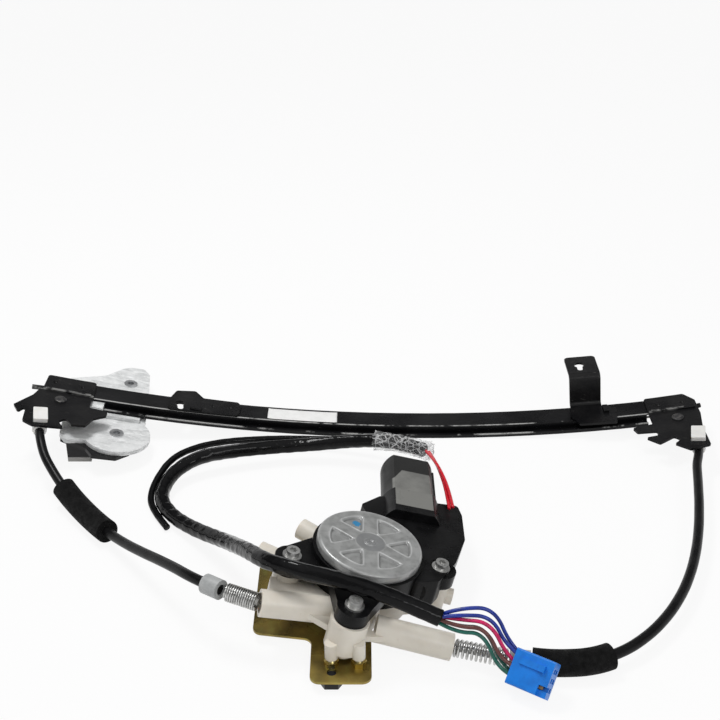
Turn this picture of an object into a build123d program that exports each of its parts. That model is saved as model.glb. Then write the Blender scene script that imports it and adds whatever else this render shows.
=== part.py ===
from build123d import *
import os
from math import asin, atan2, cos, degrees, pi, radians, sin, sqrt, tan

# Power window regulator, lying flat with its motor cover up.  +X runs along the guide rail,
# +Y from the motor towards the rail, +Z up.  Millimetres.  The origin is on the surface that
# it lies on, under the middle of its box.

# ---------------------------------------------------------------- driving dimensions
STEEL = 1.5                    # rail and rail channel
PLATE = 1.8                    # pressed brackets
FIT = 0.05                     # radial clearance of a shaft in its bore
GAP = 0.3                      # clearance between moulded or rolling pieces

# guide rail: an arc of a large circle, lowest at RAIL_X
RAIL_RADIUS = 1383.5           # to the flange's top face
RAIL_X = 49.6
RAIL_TOP_Z = 7.0               # flange top at the lowest place
RAIL_BACK_Y = 130.0
FLANGE_WIDTH = 20.0
CHANNEL_WIDTH = 7.4            # outside, in front of the flange
CHANNEL_DEPTH = 7.0            # underside, below the flange's top
LIP_DEPTH = 4.0                # top of the front lip, below the flange's top
RAIL_LEFT_X = -250.0
RAIL_RIGHT_X = 260.0
CHANNEL_LEFT_X = -214.5
CHANNEL_RIGHT_X = 225.0

# pulleys and cable
CABLE_D = 1.8
PULLEY_PITCH_R = 15.5
PULLEY_RIM = 2.2               # rim above the cable's pitch line
PULLEY_WIDTH = 5.0
PULLEY_DEPTH = 4.5             # groove's middle, below the flange's top
PULLEY_Y = 96.5
LEFT_PULLEY_X = -236.5
RIGHT_PULLEY_X = 246.5
PULLEY_PIN_R = 3.0
PULLEY_PIN_HEAD_R = 5.0
PULLEY_PIN_HEAD = 1.2

# Bowden conduits, their end blocks, sleeves, ferrules and springs
CONDUIT_D = 6.8
BLOCK = (10.6, 17.0, 12.0)
BLOCK_RISE = 3.2               # block's top above the bracket plate
BLOCK_REACH = 26.0             # from where the cable leaves the pulley
BLOCK_TURN = 13.0              # the cables leave the rail turned towards each other
COLLAR = 1.4                   # wall round a block's mouth
SOCKET = 8.5                   # how far a conduit's end goes into its block
SLEEVE_D = 16.5
FERRULE_D = 12.6
FERRULE_LENGTH = 12.5
SPRING_D = 11.6
SPRING_WIRE = 1.7
LEFT_COILS = 14
RIGHT_COILS = 12

# carriage
CARRIER_X = -205.0             # its middle at rest
CARRIER_DEPTH = 9.5            # top face, below the flange's top
CARRIER_THICKNESS = 3.5
SKIRT = 5.0                    # stiffening rim below the plate
INSERT_R = 5.4
INSERT_BORE_R = 2.5
BACK_INSERT = (14.0, 157.9)    # from CARRIER_X along the rail, and Y
FRONT_INSERT = (15.5, 79.4)
DISC_R = 26.0
CLAMP_THICKNESS = 3.0
LEG_WIDTH = 18.0

# motor and drum unit: its frame leans about Y, z = 0 on the screw lugs' top faces
UNIT_X, UNIT_Y, UNIT_Z = 1.4, -107.8, 42.3
UNIT_LEAN = 13.5
COVER_R = 33.9
COVER_TOP = 10.0
COVER_RIM = 6.0
COVER_SHEET = 1.2
CUP_R = 36.0
CUP_FLOOR = -14.0
GEARBOX_WALL = 2.5
LUG_THICKNESS = 9.0
LUG_R = 10.5
SCREWS = ((-47.8, -16.6), (48.2, 0.5), (-8.0, -53.3))
SCREW_R = 2.5
SCREW_LENGTH = 24.0
FLANGE_HEAD_R = 6.0
HEAD_R = 4.3

# worm drive
MODULE = 0.9
WHEEL_TEETH = 58
WHEEL_PITCH_R = MODULE * WHEEL_TEETH / 2
WORM_PITCH_R = 4.9
WORM_X = WHEEL_PITCH_R + WORM_PITCH_R + 0.15
WORM_Z = -7.0
WORM_LEAD = pi * MODULE
WORM_TURNS = 7
WHEEL_WIDTH = 8.0
TOOTH_HEIGHT = 0.8             # above or below the pitch line
TOOTH_SHARE = 0.30             # of the pitch, at the pitch line
SHAFT_R = 2.5
AXLE_R = 4.0

# cable drum and its housing
DRUM_PITCH_R = 27.0
DRUM_HEIGHT = 11.0
DRUM_TOP = -15.5
GROOVES = 4
GROOVE_PITCH = 2.3
HEX_ACROSS = 12.0
DRUM_WALL_R = 34.0
HOUSING_BOTTOM = -30.0
HOUSING_FLOOR = 2.0
ARM_D = 17.0
ARM_BORE = 12.6
ARM_Z = -20.6
LEFT_ARM = ((-14.0, -34.8), (-62.0, -41.0))     # axis from its root to its mouth
RIGHT_ARM = ((10.0, -44.4), (58.0, -48.6))
BOSS_R = 12.0
BOSS_FOOT_R = 7.5
BOSS_FOOT = 5.0

# motor can
CAN_R = 18.5
CAN_HALF_HEIGHT = 13.5
CAN_START = 66.0
CAN_END = 117.0
CAN_WALL = 1.6
AIR_GAP = 0.5
CORE_LENGTH = 26.0
CORE_START = 78.0

# yellow-chromate mounting plate, level, on threaded spacers
FOOT_PLATE = 1.6
SPACER_HEIGHT = 5.6
SPACER_ACROSS = 14.0
SPACER_BORE_R = 3.0
SPACERS = ((-20.0, -177.0), (-58.0, -80.0), (-8.0, -100.0))
STUD_R = 2.4

# keyholes in the rail's brackets
MID_KEYHOLE = (-147.0, 119.0)
MID_HEADING = -80.0
KEYHOLE_R = 4.0
KEYHOLE_SLOT = 4.4

# end brackets
LEFT_BACK = [(-252.2, 108), (-252.2, 131.3), (-214.7, 131.3), (-213, 108)]
LEFT_FRONT = [
    (-254, 109), (-257, 97), (-267.4, 78), (-262.5, 69.5), (-258.3, 79), (-256.5, 58.5),
    (-249, 54.5), (-226.5, 58), (-231.5, 66), (-227.5, 71), (-221.7, 64.2), (-211.8, 65.7),
    (-208, 77), (-199.5, 84), (-199.5, 91), (-213.5, 92), (-213.5, 109),
]
RIGHT_BACK = [(226.2, 108), (226.2, 130.2), (257.5, 131.3), (264.6, 120), (264.6, 108)]
RIGHT_FRONT = [
    (264.5, 109), (264.5, 99), (261.5, 79), (261.5, 53), (246, 50), (236.5, 60),
    (242, 65), (238, 70), (226, 62.5), (217, 72.5), (227, 74), (227, 80), (212.4, 81),
    (210, 88), (226.1, 91), (226.1, 109),
]
BEAD_R = 1.7
CLINCH_R = 2.6
LAY = 0.02                     # between a bracket and the flange that it lies on

# carriage
CARRIER_OUTLINE = [
    (-35, 152), (-8, 165), (4, 181.3), (10, 185.3), (21, 185.8), (27, 177.3), (31, 145),
    (34.5, 105), (34.5, 90), (0, 66), (-20, 60), (-26, 68), (-29, 100),
]
PAD_LENGTH = 9.5               # shoe that holds the channel's front lip
SHOE_BACK_X = 30.0
HOLDER_X = (-12.5, 19.5)       # cable holder, clear of the pulley at rest
NIPPLE_R = 1.55
NIPPLE_LENGTH = 6.0
CLAMP_OUTLINE = [(-25, 66), (-25, 92), (-6, 92), (-2, 100), (24, 98), (30, 84), (29, 61),
                 (20, 51), (2, 49.5), (-4, 58)]
LEG_X = -219.5
LEG_Y = 69.5

# brackets on the rail
MID_OUTLINE = [
    (-156, 109.5), (-155.3, 127), (-152, 138.5), (-137, 141), (-129.5, 131), (-101.7, 130),
    (-98.7, 124.9), (-100, 109.5),
]
STAND_X = 180.0                # tall bracket, square to the rail here
STAND_BASE = (38.0, 25.0)      # along the rail and across it
STAND_WIDTH = 25.0
STAND_HEIGHT = 28.0
STAND_REACH = 31.0
BEND_R = 4.0

# gearbox, worm and drum inside the unit
MOTOR_END = [(-4, 52), (9, 66), (64, 73), (66.5, 62), (66.5, 34), (58.5, 7), (46, -16),
             (30, -22), (8, 20)]
SHAFT_START = -15.6
TUNNEL_R = 8.0
MOTOR_END_LOW = -16.6
ARM_POST_R = 9.0
BEARING_R = 4.8
HUB_R = 9.0
WELL_R = 20.0
DOG = 5.0
HUB_PLATE = 1.6
DRUM_FLANGE_R = 29.0

# armature
SHAFT_END = 114.0
CORE_R = CAN_HALF_HEIGHT - CAN_WALL - AIR_GAP
COMMUTATOR = (52.0, 61.0)
COMMUTATOR_R = 7.0

# drum housing and its arms
LEFT_BLOCK = [(-58, -22), (-58, -36), (-20, -36), (-20, -22)]
CAVITY_R = 30.5
POSTS = ((-20.2, -170.3), (-3.7, -170.3))       # over the studs, in the row's frame
POST_R = 4.0
POST_FOOT = 13.0
LUG_POST_LOW = -29.4           # the screws' posts end above the table
POST_TOP = 24.0
STUBS = (
    ((-17.0, 30.0), (-40.0, 44.0), 7.0, -21.2),
    ((-30.0, -4.0), (-66.0, 10.0), 7.5, -21.7),
    ((30.0, 7.0), (62.0, 3.0), 5.4, -22.2),
)

# mounting plate of the unit
PLATE_OUTLINE = [(-70, -67), (-70, -141), (-33, -147), (-33, -185.8), (4, -185.8), (4, -100),
                 (-20, -67)]

# conduits and other cords
LEFT_SLEEVE = (4, 6)           # from the middle of one run of the route to another's
RIGHT_SLEEVE = (12, 13)

# harness and connector
HARNESS_D = 10.5
BRANCH_D = 5.0
LEADS_D = 5.0
WIRE_D = 2.4
HARNESS_ROUTE = [
    (45, 43, 26), (24, 57, 25), (-8, 67.5, 19.5), (-42, 71, 13.5), (-73, 67, 13.2),
    (-100, 60, 14.5), (-125, 52, 14.8), (-144, 36, 10), (-149.5, 11, 6), (-138.5, -12.5, 5.8),
    (-117, -36, 10), (-90, -70, 24), (-73, -108, 45), (-61, -134, 57), (-40, -147, 60),
    (-16, -150, 55.5), (16, -156.5, 47.5), (45, -162, 36)]
BRANCH_ROUTE = [
    (42.6, 58.7, 16), (26, 69, 14), (5, 76.5, 12.5), (-17, 82.5, 11), (-40, 86, 9.5),
    (-63, 87.2, 9.1), (-86, 85.5, 9.4), (-108, 79, 11.5), (-128, 67.5, 13.8),
    (-145, 51.5, 13.9), (-154.5, 32, 8), (-157, 11, 4.2), (-150, -7, 3.2), (-139.5, -23.5, 3.2)]
LEADS_ROUTE = [(59, -44, 34), (58, -21, 33), (55, -2, 34), (51, 18, 33), (47, 36, 29)]
PLUG_CENTRE = (96.4, -189.5, 18.2)               # middle of the face that shows
PLUG_YAW = -33.0
PLUG_TIP = 45.0
PLUG = (25.0, 22.0, 11.0)                        # along the wires, across them, thickness
PLUG_WALL = 1.4
ARCH = (74.0, -164.0, 36.5)    # where the wires start to drop to the plug
WIRES = {
    "blue_upper": (5.6, -1.9),
    "blue_lower": (5.6, 1.9),
    "magenta": (0.0, -1.9),
    "brown": (0.0, 1.9),
    "green_upper": (-5.6, -1.9),
    "green_lower": (-5.6, 1.9),
}


# ---------------------------------------------------------------- the rail's own geometry
CENTRE_Z = RAIL_TOP_Z + RAIL_RADIUS
CURVE_AXIS = Axis((RAIL_X, 0, CENTRE_Z), (0, -1, 0))
CABLE_Y = PULLEY_Y + PULLEY_PITCH_R
FLANGE_FRONT_Y = RAIL_BACK_Y - FLANGE_WIDTH
CHANNEL_FRONT_Y = FLANGE_FRONT_Y - CHANNEL_WIDTH
ROOM = 200.0                   # longer than any cut has to be


def turn_at(x, depth=0.0):
    """Angle about the rail's centre of curvature at which something at this depth is at x."""
    return degrees(asin((x - RAIL_X) / (RAIL_RADIUS + depth)))


def seat(x, depth=0.0):
    """Frame on the rail: X along it, Z towards its centre of curvature."""
    turn = turn_at(x, depth)
    reach = RAIL_RADIUS + depth
    return Location((x, 0, CENTRE_Z - reach * cos(radians(turn))), (0, -turn, 0))


def band(depth, thickness, y_low, y_high, x_low, x_high):
    """A strip that follows the rail's curve, its top face at depth below the flange's top."""
    low = CENTRE_Z - RAIL_RADIUS - depth - thickness
    corners = [(y_low, low), (y_high, low), (y_high, low + thickness), (y_low, low + thickness)]
    section = make_face(Polyline(*[(RAIL_X, y, z) for y, z in corners], close=True))
    start, end = turn_at(x_low), turn_at(x_high)
    return revolve(section.rotate(CURVE_AXIS, start), CURVE_AXIS, end - start)


def pressing(outline, depth, thickness=PLATE):
    """A sheet that follows the rail's curve, cut to an outline in plan."""
    box = outline.bounding_box()
    strip = band(depth, thickness, box.min.Y - 1, box.max.Y + 1, box.min.X - 1, box.max.X + 1)
    return strip & Pos(0, 0, -ROOM / 2) * extrude(outline, ROOM)


def rounded(points, radius):
    """A face from the corners of its outline, each rounded."""
    return make_face(FilletPolyline(*points, radius=radius, close=True))


def rod(start, end, radius):
    """A round bar from one point to another."""
    start, end = Vector(*start), Vector(*end)
    along = end - start
    return extrude(Plane(start, z_dir=along) * Circle(radius), along.length)


def tube(start, end, outer, inner):
    return rod(start, end, outer) - rod(start, end, inner)


def keyhole(x, y, heading):
    """A round hole with a slot that leads out of it."""
    turned = Pos(x, y) * Rot(0, 0, heading)
    return turned * (Circle(KEYHOLE_R) + Pos(KEYHOLE_R + 1, 0) * SlotOverall(8.0, KEYHOLE_SLOT))


parts = {}


# ---------------------------------------------------------------- guide rail
def guide_rail():
    flange = band(0, STEEL, FLANGE_FRONT_Y, RAIL_BACK_Y, RAIL_LEFT_X, RAIL_RIGHT_X)
    ends = (CHANNEL_LEFT_X, CHANNEL_RIGHT_X)
    inner = band(0, CHANNEL_DEPTH, FLANGE_FRONT_Y - STEEL, FLANGE_FRONT_Y, *ends)
    web = band(CHANNEL_DEPTH - STEEL, STEEL, CHANNEL_FRONT_Y, FLANGE_FRONT_Y, *ends)
    lip = band(LIP_DEPTH, CHANNEL_DEPTH - LIP_DEPTH, CHANNEL_FRONT_Y, CHANNEL_FRONT_Y + STEEL, *ends)
    rail = flange + [inner, web, lip]
    return rail - Pos(0, 0, -ROOM / 2) * extrude(keyhole(*MID_KEYHOLE, MID_HEADING), ROOM)


parts["guide_rail"] = guide_rail()


# ---------------------------------------------------------------- end brackets


def end_bracket(side, back, front, clinches, pin_from, pin_to):
    """A pressed plate on the flange's end that carries the pulley and the conduit's block."""
    plate = pressing(rounded(back, 2.5) + rounded(front, 1.2), -PLATE - LAY)
    wide, deep, tall = BLOCK
    plate -= block_seat(side) * Box(wide + 2 * FIT, deep + 2 * FIT, 2 * tall)
    plate -= pulley_seat(side) * Cylinder(PULLEY_PIN_R, 2 * tall)
    plate -= block_seat(side) * rod((0, -ROOM / 4, 0), (0, 0, 0), CONDUIT_D / 2 + COLLAR + FIT)
    xs = [x for x, _ in back]
    bead = Pos((min(xs) + max(xs)) / 2, 109.5) * SlotOverall(max(xs) - min(xs) - 4, 2 * BEAD_R)
    plate += pressing(bead, -PLATE - 1.0, 1.0 + PLATE / 2)
    for x, y in clinches:
        plate -= seat(x) * Pos(0, y, PLATE + 1.6) * Sphere(CLINCH_R)
    pin = seat(pin_from[0]) * Pos(0, pin_from[1], 0)
    reach = Vector(pin_to[0] - pin_from[0], pin_to[1] - pin_from[1], 0)
    return plate + pin * rod((0, 0, 0), (reach.X, reach.Y, 0), 1.9)


def pulley_seat(side):
    """Frame in a pulley's groove, Z along its pin."""
    x = LEFT_PULLEY_X if side == "left" else RIGHT_PULLEY_X
    return seat(x) * Pos(0, PULLEY_Y, -PULLEY_DEPTH)


def block_seat(side):
    """Frame at the middle of a conduit's block, on the cable; the cable leaves along -Y."""
    hand = 1 if side == "left" else -1
    turned = pulley_seat(side) * Rot(0, 0, hand * BLOCK_TURN)
    return turned * Pos(-hand * PULLEY_PITCH_R, -BLOCK_REACH, 0)


parts["pulley_bracket_left"] = end_bracket(
    "left", LEFT_BACK, LEFT_FRONT,
    ((-245.5, 121.5), (-224.2, 120.5)), (-250.4, 112.6), (-261.5, 111.2))
parts["pulley_bracket_right"] = end_bracket(
    "right", RIGHT_BACK, RIGHT_FRONT,
    ((235.5, 118.1), (254.6, 118.1)), (262.0, 112.0), (267.6, 113.3))


# ---------------------------------------------------------------- pulleys and their pins
def pulley():
    """A nylon sheave: a vee groove with a round bottom for the cable, a hub and a dished web."""
    outer, half = PULLEY_PITCH_R + PULLEY_RIM, PULLEY_WIDTH / 2
    root = PULLEY_PITCH_R - CABLE_D / 2 - GAP
    flank = half - 0.4
    seat_half = CABLE_D / 2 + GAP
    low = [(PULLEY_PIN_R + FIT, -half), (outer, -half), (outer, -flank), (root, -seat_half)]
    outline = Polyline(*(low + [(x, -z) for x, z in reversed(low)]), close=True)
    wheel = revolve(Plane.XZ * make_face(outline), Axis.Z)
    dish = Cylinder(11.0, 1.8) - Cylinder(6.0, 1.8)
    for turn in range(0, 360, 60):
        wheel -= Rot(0, 0, turn) * Pos(8.5, 0) * Cylinder(1.3, ROOM)
    return wheel - Pos(0, 0, half) * dish - Pos(0, 0, -half) * dish


def pulley_pin():
    """A shouldered rivet: its head under the pulley, its tail closed over the bracket."""
    low = -PULLEY_WIDTH / 2 - GAP
    top = PULLEY_DEPTH + PLATE + 0.05
    shank = rod((0, 0, low), (0, 0, top), PULLEY_PIN_R)
    head = rod((0, 0, low - PULLEY_PIN_HEAD), (0, 0, low), PULLEY_PIN_HEAD_R)
    tail = rod((0, 0, top), (0, 0, top + 1.0), PULLEY_PIN_R + 1.6)
    return shank + head + fillet(tail.edges().group_by(Axis.Z)[-1], 0.7)


def conduit_block():
    """Square nylon socket, snapped through the bracket; the cable passes along it."""
    wide, deep, tall = BLOCK
    body = Pos(0, 0, PULLEY_DEPTH + PLATE + BLOCK_RISE - tall / 2) * Box(wide, deep, tall)
    body = fillet(body.edges().filter_by(Axis.Z), 1.0)
    mouth = -deep / 2 - 2.5
    collar = rod((0, mouth, 0), (0, -deep / 2 + 4, 0), CONDUIT_D / 2 + COLLAR)
    socket = rod((0, mouth - 1, 0), (0, mouth + SOCKET, 0), CONDUIT_D / 2)
    bore = rod((0, -deep, 0), (0, deep, 0), CABLE_D / 2 + GAP)
    return body + collar - socket - bore


for side in ("left", "right"):
    parts[f"cable_pulley_{side}"] = pulley_seat(side) * pulley()
    parts[f"pulley_rivet_{side}"] = pulley_seat(side) * pulley_pin()
    parts[f"conduit_block_{side}"] = block_seat(side) * conduit_block()


# ---------------------------------------------------------------- cable along the rail
def rail_cable():
    """The steel cable from one conduit's end, round both pulleys, to the other's."""
    wire = Circle(CABLE_D / 2)
    low = CENTRE_Z - RAIL_RADIUS - PULLEY_DEPTH
    section = Plane((RAIL_X, CABLE_Y, low), x_dir=(0, 1, 0), z_dir=(1, 0, 0)) * wire
    start, end = (turn_at(x) for x in (LEFT_PULLEY_X, RIGHT_PULLEY_X))
    cable = revolve(section.rotate(CURVE_AXIS, start), CURVE_AXIS, end - start)
    for side in ("left", "right"):
        hand = 1 if side == "left" else -1
        bend = revolve(Plane((0, PULLEY_PITCH_R, 0), z_dir=(1, 0, 0)) * wire, Axis.Z,
                       hand * (90 + BLOCK_TURN))
        cable += pulley_seat(side) * bend
        mouth = -BLOCK[1] / 2 - 2.5 + SOCKET
        cable += block_seat(side) * rod((0, BLOCK_REACH, 0), (0, mouth, 0), CABLE_D / 2)
    return cable


parts["rail_cable"] = rail_cable()


# ---------------------------------------------------------------- carriage
CARRIAGE = seat(CARRIER_X)     # frame on the rail under the carriage's middle


def carriage(shape):
    return CARRIAGE * shape


def carrier():
    """A nylon plate under the rail; its shoe hooks over the front lip, inside the channel."""
    top = -CARRIER_DEPTH
    outline = rounded(CARRIER_OUTLINE, 3.0) + Pos(*FRONT_INSERT) * Circle(DISC_R)
    plate = Pos(0, 0, top - CARRIER_THICKNESS) * extrude(outline, CARRIER_THICKNESS)
    back = offset(rounded(CARRIER_OUTLINE, 3.0), -0.8) & Pos(0, 158) * Rectangle(90, 96)
    rim = back - offset(back, -2.0)
    body = plate + Pos(0, 0, top - CARRIER_THICKNESS - SKIRT) * extrude(rim, SKIRT)
    for x, y in (BACK_INSERT, FRONT_INSERT):
        boss = rod((x, y, top - 0.1), (x, y, top - CARRIER_THICKNESS - SKIRT), INSERT_R + 2.5)
        body += boss
    lip_back = CHANNEL_FRONT_Y + STEEL + GAP
    pad = Pos(-9.0, 0, 0) * sketch_box(0, PAD_LENGTH, CHANNEL_FRONT_Y - 4, lip_back + 3.2,
                                       top, -1.0)
    lip_room = sketch_box(-ROOM, ROOM, CHANNEL_FRONT_Y - GAP, lip_back,
                          -ROOM, -LIP_DEPTH + GAP)
    web_room = sketch_box(-ROOM, ROOM, CHANNEL_FRONT_Y, ROOM,
                          -ROOM, -CHANNEL_DEPTH + STEEL + GAP)
    body += pad - lip_room - web_room
    saddle_top = -CHANNEL_DEPTH + 0.6
    body += sketch_box(-9, SHOE_BACK_X, CHANNEL_FRONT_Y - 4, CHANNEL_FRONT_Y - GAP,
                       top, saddle_top)
    body += sketch_box(HOLDER_X[0], SHOE_BACK_X, FLANGE_FRONT_Y + GAP, FLANGE_FRONT_Y + 3,
                       top, saddle_top)
    holder = sketch_box(HOLDER_X[0], HOLDER_X[1], FLANGE_FRONT_Y + GAP, CABLE_Y + 6, top, -STEEL - 0.6)
    holder -= rod((-ROOM, CABLE_Y, -PULLEY_DEPTH), (ROOM, CABLE_Y, -PULLEY_DEPTH),
                  CABLE_D / 2 + GAP)
    for start in (HOLDER_X[0] - 0.1, HOLDER_X[1] - NIPPLE_LENGTH - 0.1):
        holder -= rod((start, CABLE_Y, -PULLEY_DEPTH),
                      (start + NIPPLE_LENGTH + 0.2, CABLE_Y, -PULLEY_DEPTH), NIPPLE_R + 0.02)
    body += holder
    for x, y in (BACK_INSERT, FRONT_INSERT):
        body -= Pos(x, y) * Cylinder(INSERT_R - 1.2, ROOM)
    return carriage(body)


def sketch_box(x_low, x_high, y_low, y_high, z_low, z_high):
    """A box from its limits."""
    box = Box(x_high - x_low, y_high - y_low, z_high - z_low)
    return Pos((x_low + x_high) / 2, (y_low + y_high) / 2, (z_low + z_high) / 2) * box


def glass_inserts():
    """Threaded bushes that the glass's bolts go into, pressed through the carrier."""
    both = []
    for x, y in (BACK_INSERT, FRONT_INSERT):
        low = -CARRIER_DEPTH - CARRIER_THICKNESS - SKIRT
        body = rod((x, y, low), (x, y, -CARRIER_DEPTH), INSERT_R - 1.2)
        head = rod((x, y, -CARRIER_DEPTH), (x, y, -CARRIER_DEPTH + 0.8), INSERT_R)
        both.append(carriage(body + head - Pos(x, y) * Cylinder(INSERT_BORE_R, ROOM)))
    return both


def cable_nipples():
    """Crimped stops that pull the carriage along, one at each side of its cable holder."""
    both = []
    for start in (HOLDER_X[0], HOLDER_X[1] - NIPPLE_LENGTH):
        ends = (start, CABLE_Y, -PULLEY_DEPTH), (start + NIPPLE_LENGTH, CABLE_Y, -PULLEY_DEPTH)
        both.append(carriage(tube(*ends, NIPPLE_R, CABLE_D / 2 + GAP / 2)))
    return both


def glass_clamp():
    """Bent steel strip riveted under the carrier, with a leg that stands below it."""
    top = -CARRIER_DEPTH - CARRIER_THICKNESS
    outline = rounded(CLAMP_OUTLINE, 2.0) - Pos(*FRONT_INSERT) * Circle(INSERT_R + 2.5 + GAP)
    plate = carriage(Pos(0, 0, top - CLAMP_THICKNESS) * extrude(outline, CLAMP_THICKNESS))
    under = seat(LEG_X, CARRIER_DEPTH + CARRIER_THICKNESS + CLAMP_THICKNESS / 2).position.Z
    leg = sketch_box(LEG_X - LEG_WIDTH / 2, LEG_X + LEG_WIDTH / 2,
                     LEG_Y - CLAMP_THICKNESS / 2, LEG_Y + CLAMP_THICKNESS / 2, 0, under + 1)
    leg -= carriage(Pos(0, 0, top + ROOM / 2) * Box(ROOM, ROOM, ROOM))
    return plate + leg


parts["glass_carrier"] = carrier()
parts["glass_bolt_inserts"] = glass_inserts()
parts["cable_nipples"] = cable_nipples()
parts["glass_clamp"] = glass_clamp()


# ---------------------------------------------------------------- brackets on the rail


def rail_mount_plate():
    plate = pressing(rounded(MID_OUTLINE, 2.5), -PLATE)
    plate -= Pos(0, 0, -ROOM / 2) * extrude(keyhole(*MID_KEYHOLE, MID_HEADING), ROOM)
    for x, y in ((-121, 119.4), (-107.4, 120.3)):
        plate -= seat(x) * Pos(0, y, PLATE + 1.6) * Sphere(CLINCH_R)
    tab = rounded([(-138, 111), (-138, 115), (-129, 114), (-129, 110)], 0.8)
    return plate + pressing(tab, -PLATE - 2.0, 3.0)


def standoff_bracket():
    """A foot on the rail, an upright at its back edge and a flange with a keyhole on top."""
    half = STAND_WIDTH / 2
    back = RAIL_BACK_Y + 1.5
    low, high = 0.35, STAND_HEIGHT
    spine = FilletPolyline((0, back - 12, low + PLATE / 2), (0, back, low + PLATE / 2),
                           (0, back, high), (0, back + STAND_REACH, high), radius=BEND_R)
    section = Plane((0, back - 12, low + PLATE / 2), x_dir=(1, 0, 0), z_dir=(0, 1, 0))
    strip = sweep(section * Rectangle(STAND_WIDTH, PLATE), path=spine)
    corners = strip.edges().filter_by(Axis.Z).group_by(Axis.Y)[-1]
    strip = fillet(corners, 3.5)
    slot = Pos(-2, back + STAND_REACH * 0.55) * keyhole(0, 0, -90)
    strip -= Pos(0, 0, high - ROOM / 8) * extrude(slot, ROOM / 4)
    wide = STAND_BASE[1]
    foot = [(-half, back - 8), (-half - 2, back - 18), (-half + 4, back - 6 - wide),
            (half + 8, back - 7 - wide), (half + 11, back - 10), (half, back - 5)]
    base = Pos(0, 0, low) * extrude(rounded(foot, 2.0), PLATE)
    tongue = Pos(half + 2, back - 10, low + PLATE) * sketch_box(-2, 2, -7, 3, -0.2, 1.8)
    return seat(STAND_X) * (strip + base + tongue)


parts["rail_mount_plate"] = rail_mount_plate()
parts["standoff_bracket"] = standoff_bracket()


# ---------------------------------------------------------------- motor and drum unit
UNIT = Location((UNIT_X, UNIT_Y, UNIT_Z), (0, UNIT_LEAN, 0))


def unit(shape):
    return UNIT * shape


def gear_cover():
    """Pressed steel lid over the worm wheel, stiffened by six three-cornered pockets."""
    edge = COVER_R - 1.6
    outline = Polyline((0, COVER_TOP - COVER_RIM), (COVER_R, COVER_TOP - COVER_RIM),
                       (COVER_R, COVER_TOP - 1.6), (edge, COVER_TOP), (0, COVER_TOP), close=True)
    lid = revolve(Plane.XZ * make_face(outline), Axis.Z)
    inside = COVER_RIM - COVER_SHEET
    lid -= Pos(0, 0, COVER_TOP - COVER_RIM + inside / 2) * Cylinder(
        COVER_R - COVER_SHEET, inside)
    lid -= Pos(0, 0, COVER_TOP) * Cylinder(AXLE_R + 0.6, 4 * COVER_SHEET)
    pocket = rounded([(11.5, 0), (24.5, -8.0), (26.0, 0), (24.5, 8.0)], 1.2)
    depth = 0.7
    for turn in range(0, 360, 60):
        place = Pos(0, 0, COVER_TOP - depth) * Rot(0, 0, turn)
        lid -= place * extrude(pocket, 2 * depth)
    return unit(lid)


def lug_arm(x, y, radius, low, high):
    """A lug round a screw and the web that carries it from the cup."""
    spread = radius * 1.25
    turn = Rot(0, 0, degrees(atan2(y, x)))
    reach = sqrt(x * x + y * y)
    web = make_face(Polyline((24, -spread * 1.6), (reach, -radius), (reach, radius),
                             (24, spread * 1.6), close=True))
    lug = turn * web + Pos(x, y) * Circle(radius)
    return Pos(0, 0, low) * extrude(lug, high - low)


def gearbox_housing():
    """Moulded cup for the worm wheel, the worm's tunnel, the brush end and three lugs."""
    wall = GEARBOX_WALL
    body = Pos(0, 0, CUP_FLOOR) * extrude(Circle(CUP_R), COVER_TOP - COVER_RIM - CUP_FLOOR)
    for x, y in SCREWS:
        body += lug_arm(x, y, LUG_R, -LUG_THICKNESS, 0)
    end = rounded(MOTOR_END, 3.0)
    body += Pos(0, 0, MOTOR_END_LOW) * extrude(end, 2 - MOTOR_END_LOW)
    x, y = SCREWS[1]
    body -= rod((x, y, -ROOM / 4), (x, y, -LUG_THICKNESS), ARM_POST_R + GAP)
    body -= rod((x, y, 0), (x, y, ROOM / 4), FLANGE_HEAD_R + 0.8)
    below = Pos(0, 0, CUP_FLOOR - ROOM / 4) * extrude(Circle(DRUM_WALL_R + 0.1), ROOM / 4)
    body -= below - rod((WORM_X, -ROOM, WORM_Z), (WORM_X, ROOM, WORM_Z), TUNNEL_R)
    body += rod((WORM_X, SHAFT_START - 4, WORM_Z), (WORM_X, 52, WORM_Z), TUNNEL_R)
    can_mouth = Plane((WORM_X, 44, WORM_Z), x_dir=(1, 0, 0), z_dir=(0, 1, 0)) * can_outline(2.2)
    body += extrude(can_mouth, 26)
    body -= Pos(0, 0, CUP_FLOOR + wall) * extrude(Circle(CUP_R - wall), ROOM)
    body -= Pos(0, 0, CUP_FLOOR - 1) * extrude(Circle(HUB_R + GAP), ROOM)
    body -= rod((WORM_X, SHAFT_START + 4.2, WORM_Z), (WORM_X, 50, WORM_Z),
                WORM_PITCH_R + TOOTH_HEIGHT + 0.8)
    body -= rod((WORM_X, SHAFT_START - 1, WORM_Z), (WORM_X, 0, WORM_Z), BEARING_R + FIT)
    room = Plane((WORM_X, 48, WORM_Z), x_dir=(1, 0, 0), z_dir=(0, 1, 0)) * can_outline(FIT)
    body -= extrude(room, ROOM)
    for x, y in SCREWS:
        body -= Pos(x, y) * Cylinder(SCREW_R + 0.25, ROOM)
    return unit(body)


def can_outline(grow):
    """The flat-sided round of the motor's can."""
    full = Circle(CAN_R + grow)
    return full & Rectangle(ROOM, 2 * (CAN_HALF_HEIGHT + grow))


parts["gear_cover"] = gear_cover()
parts["gearbox_housing"] = gearbox_housing()


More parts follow.
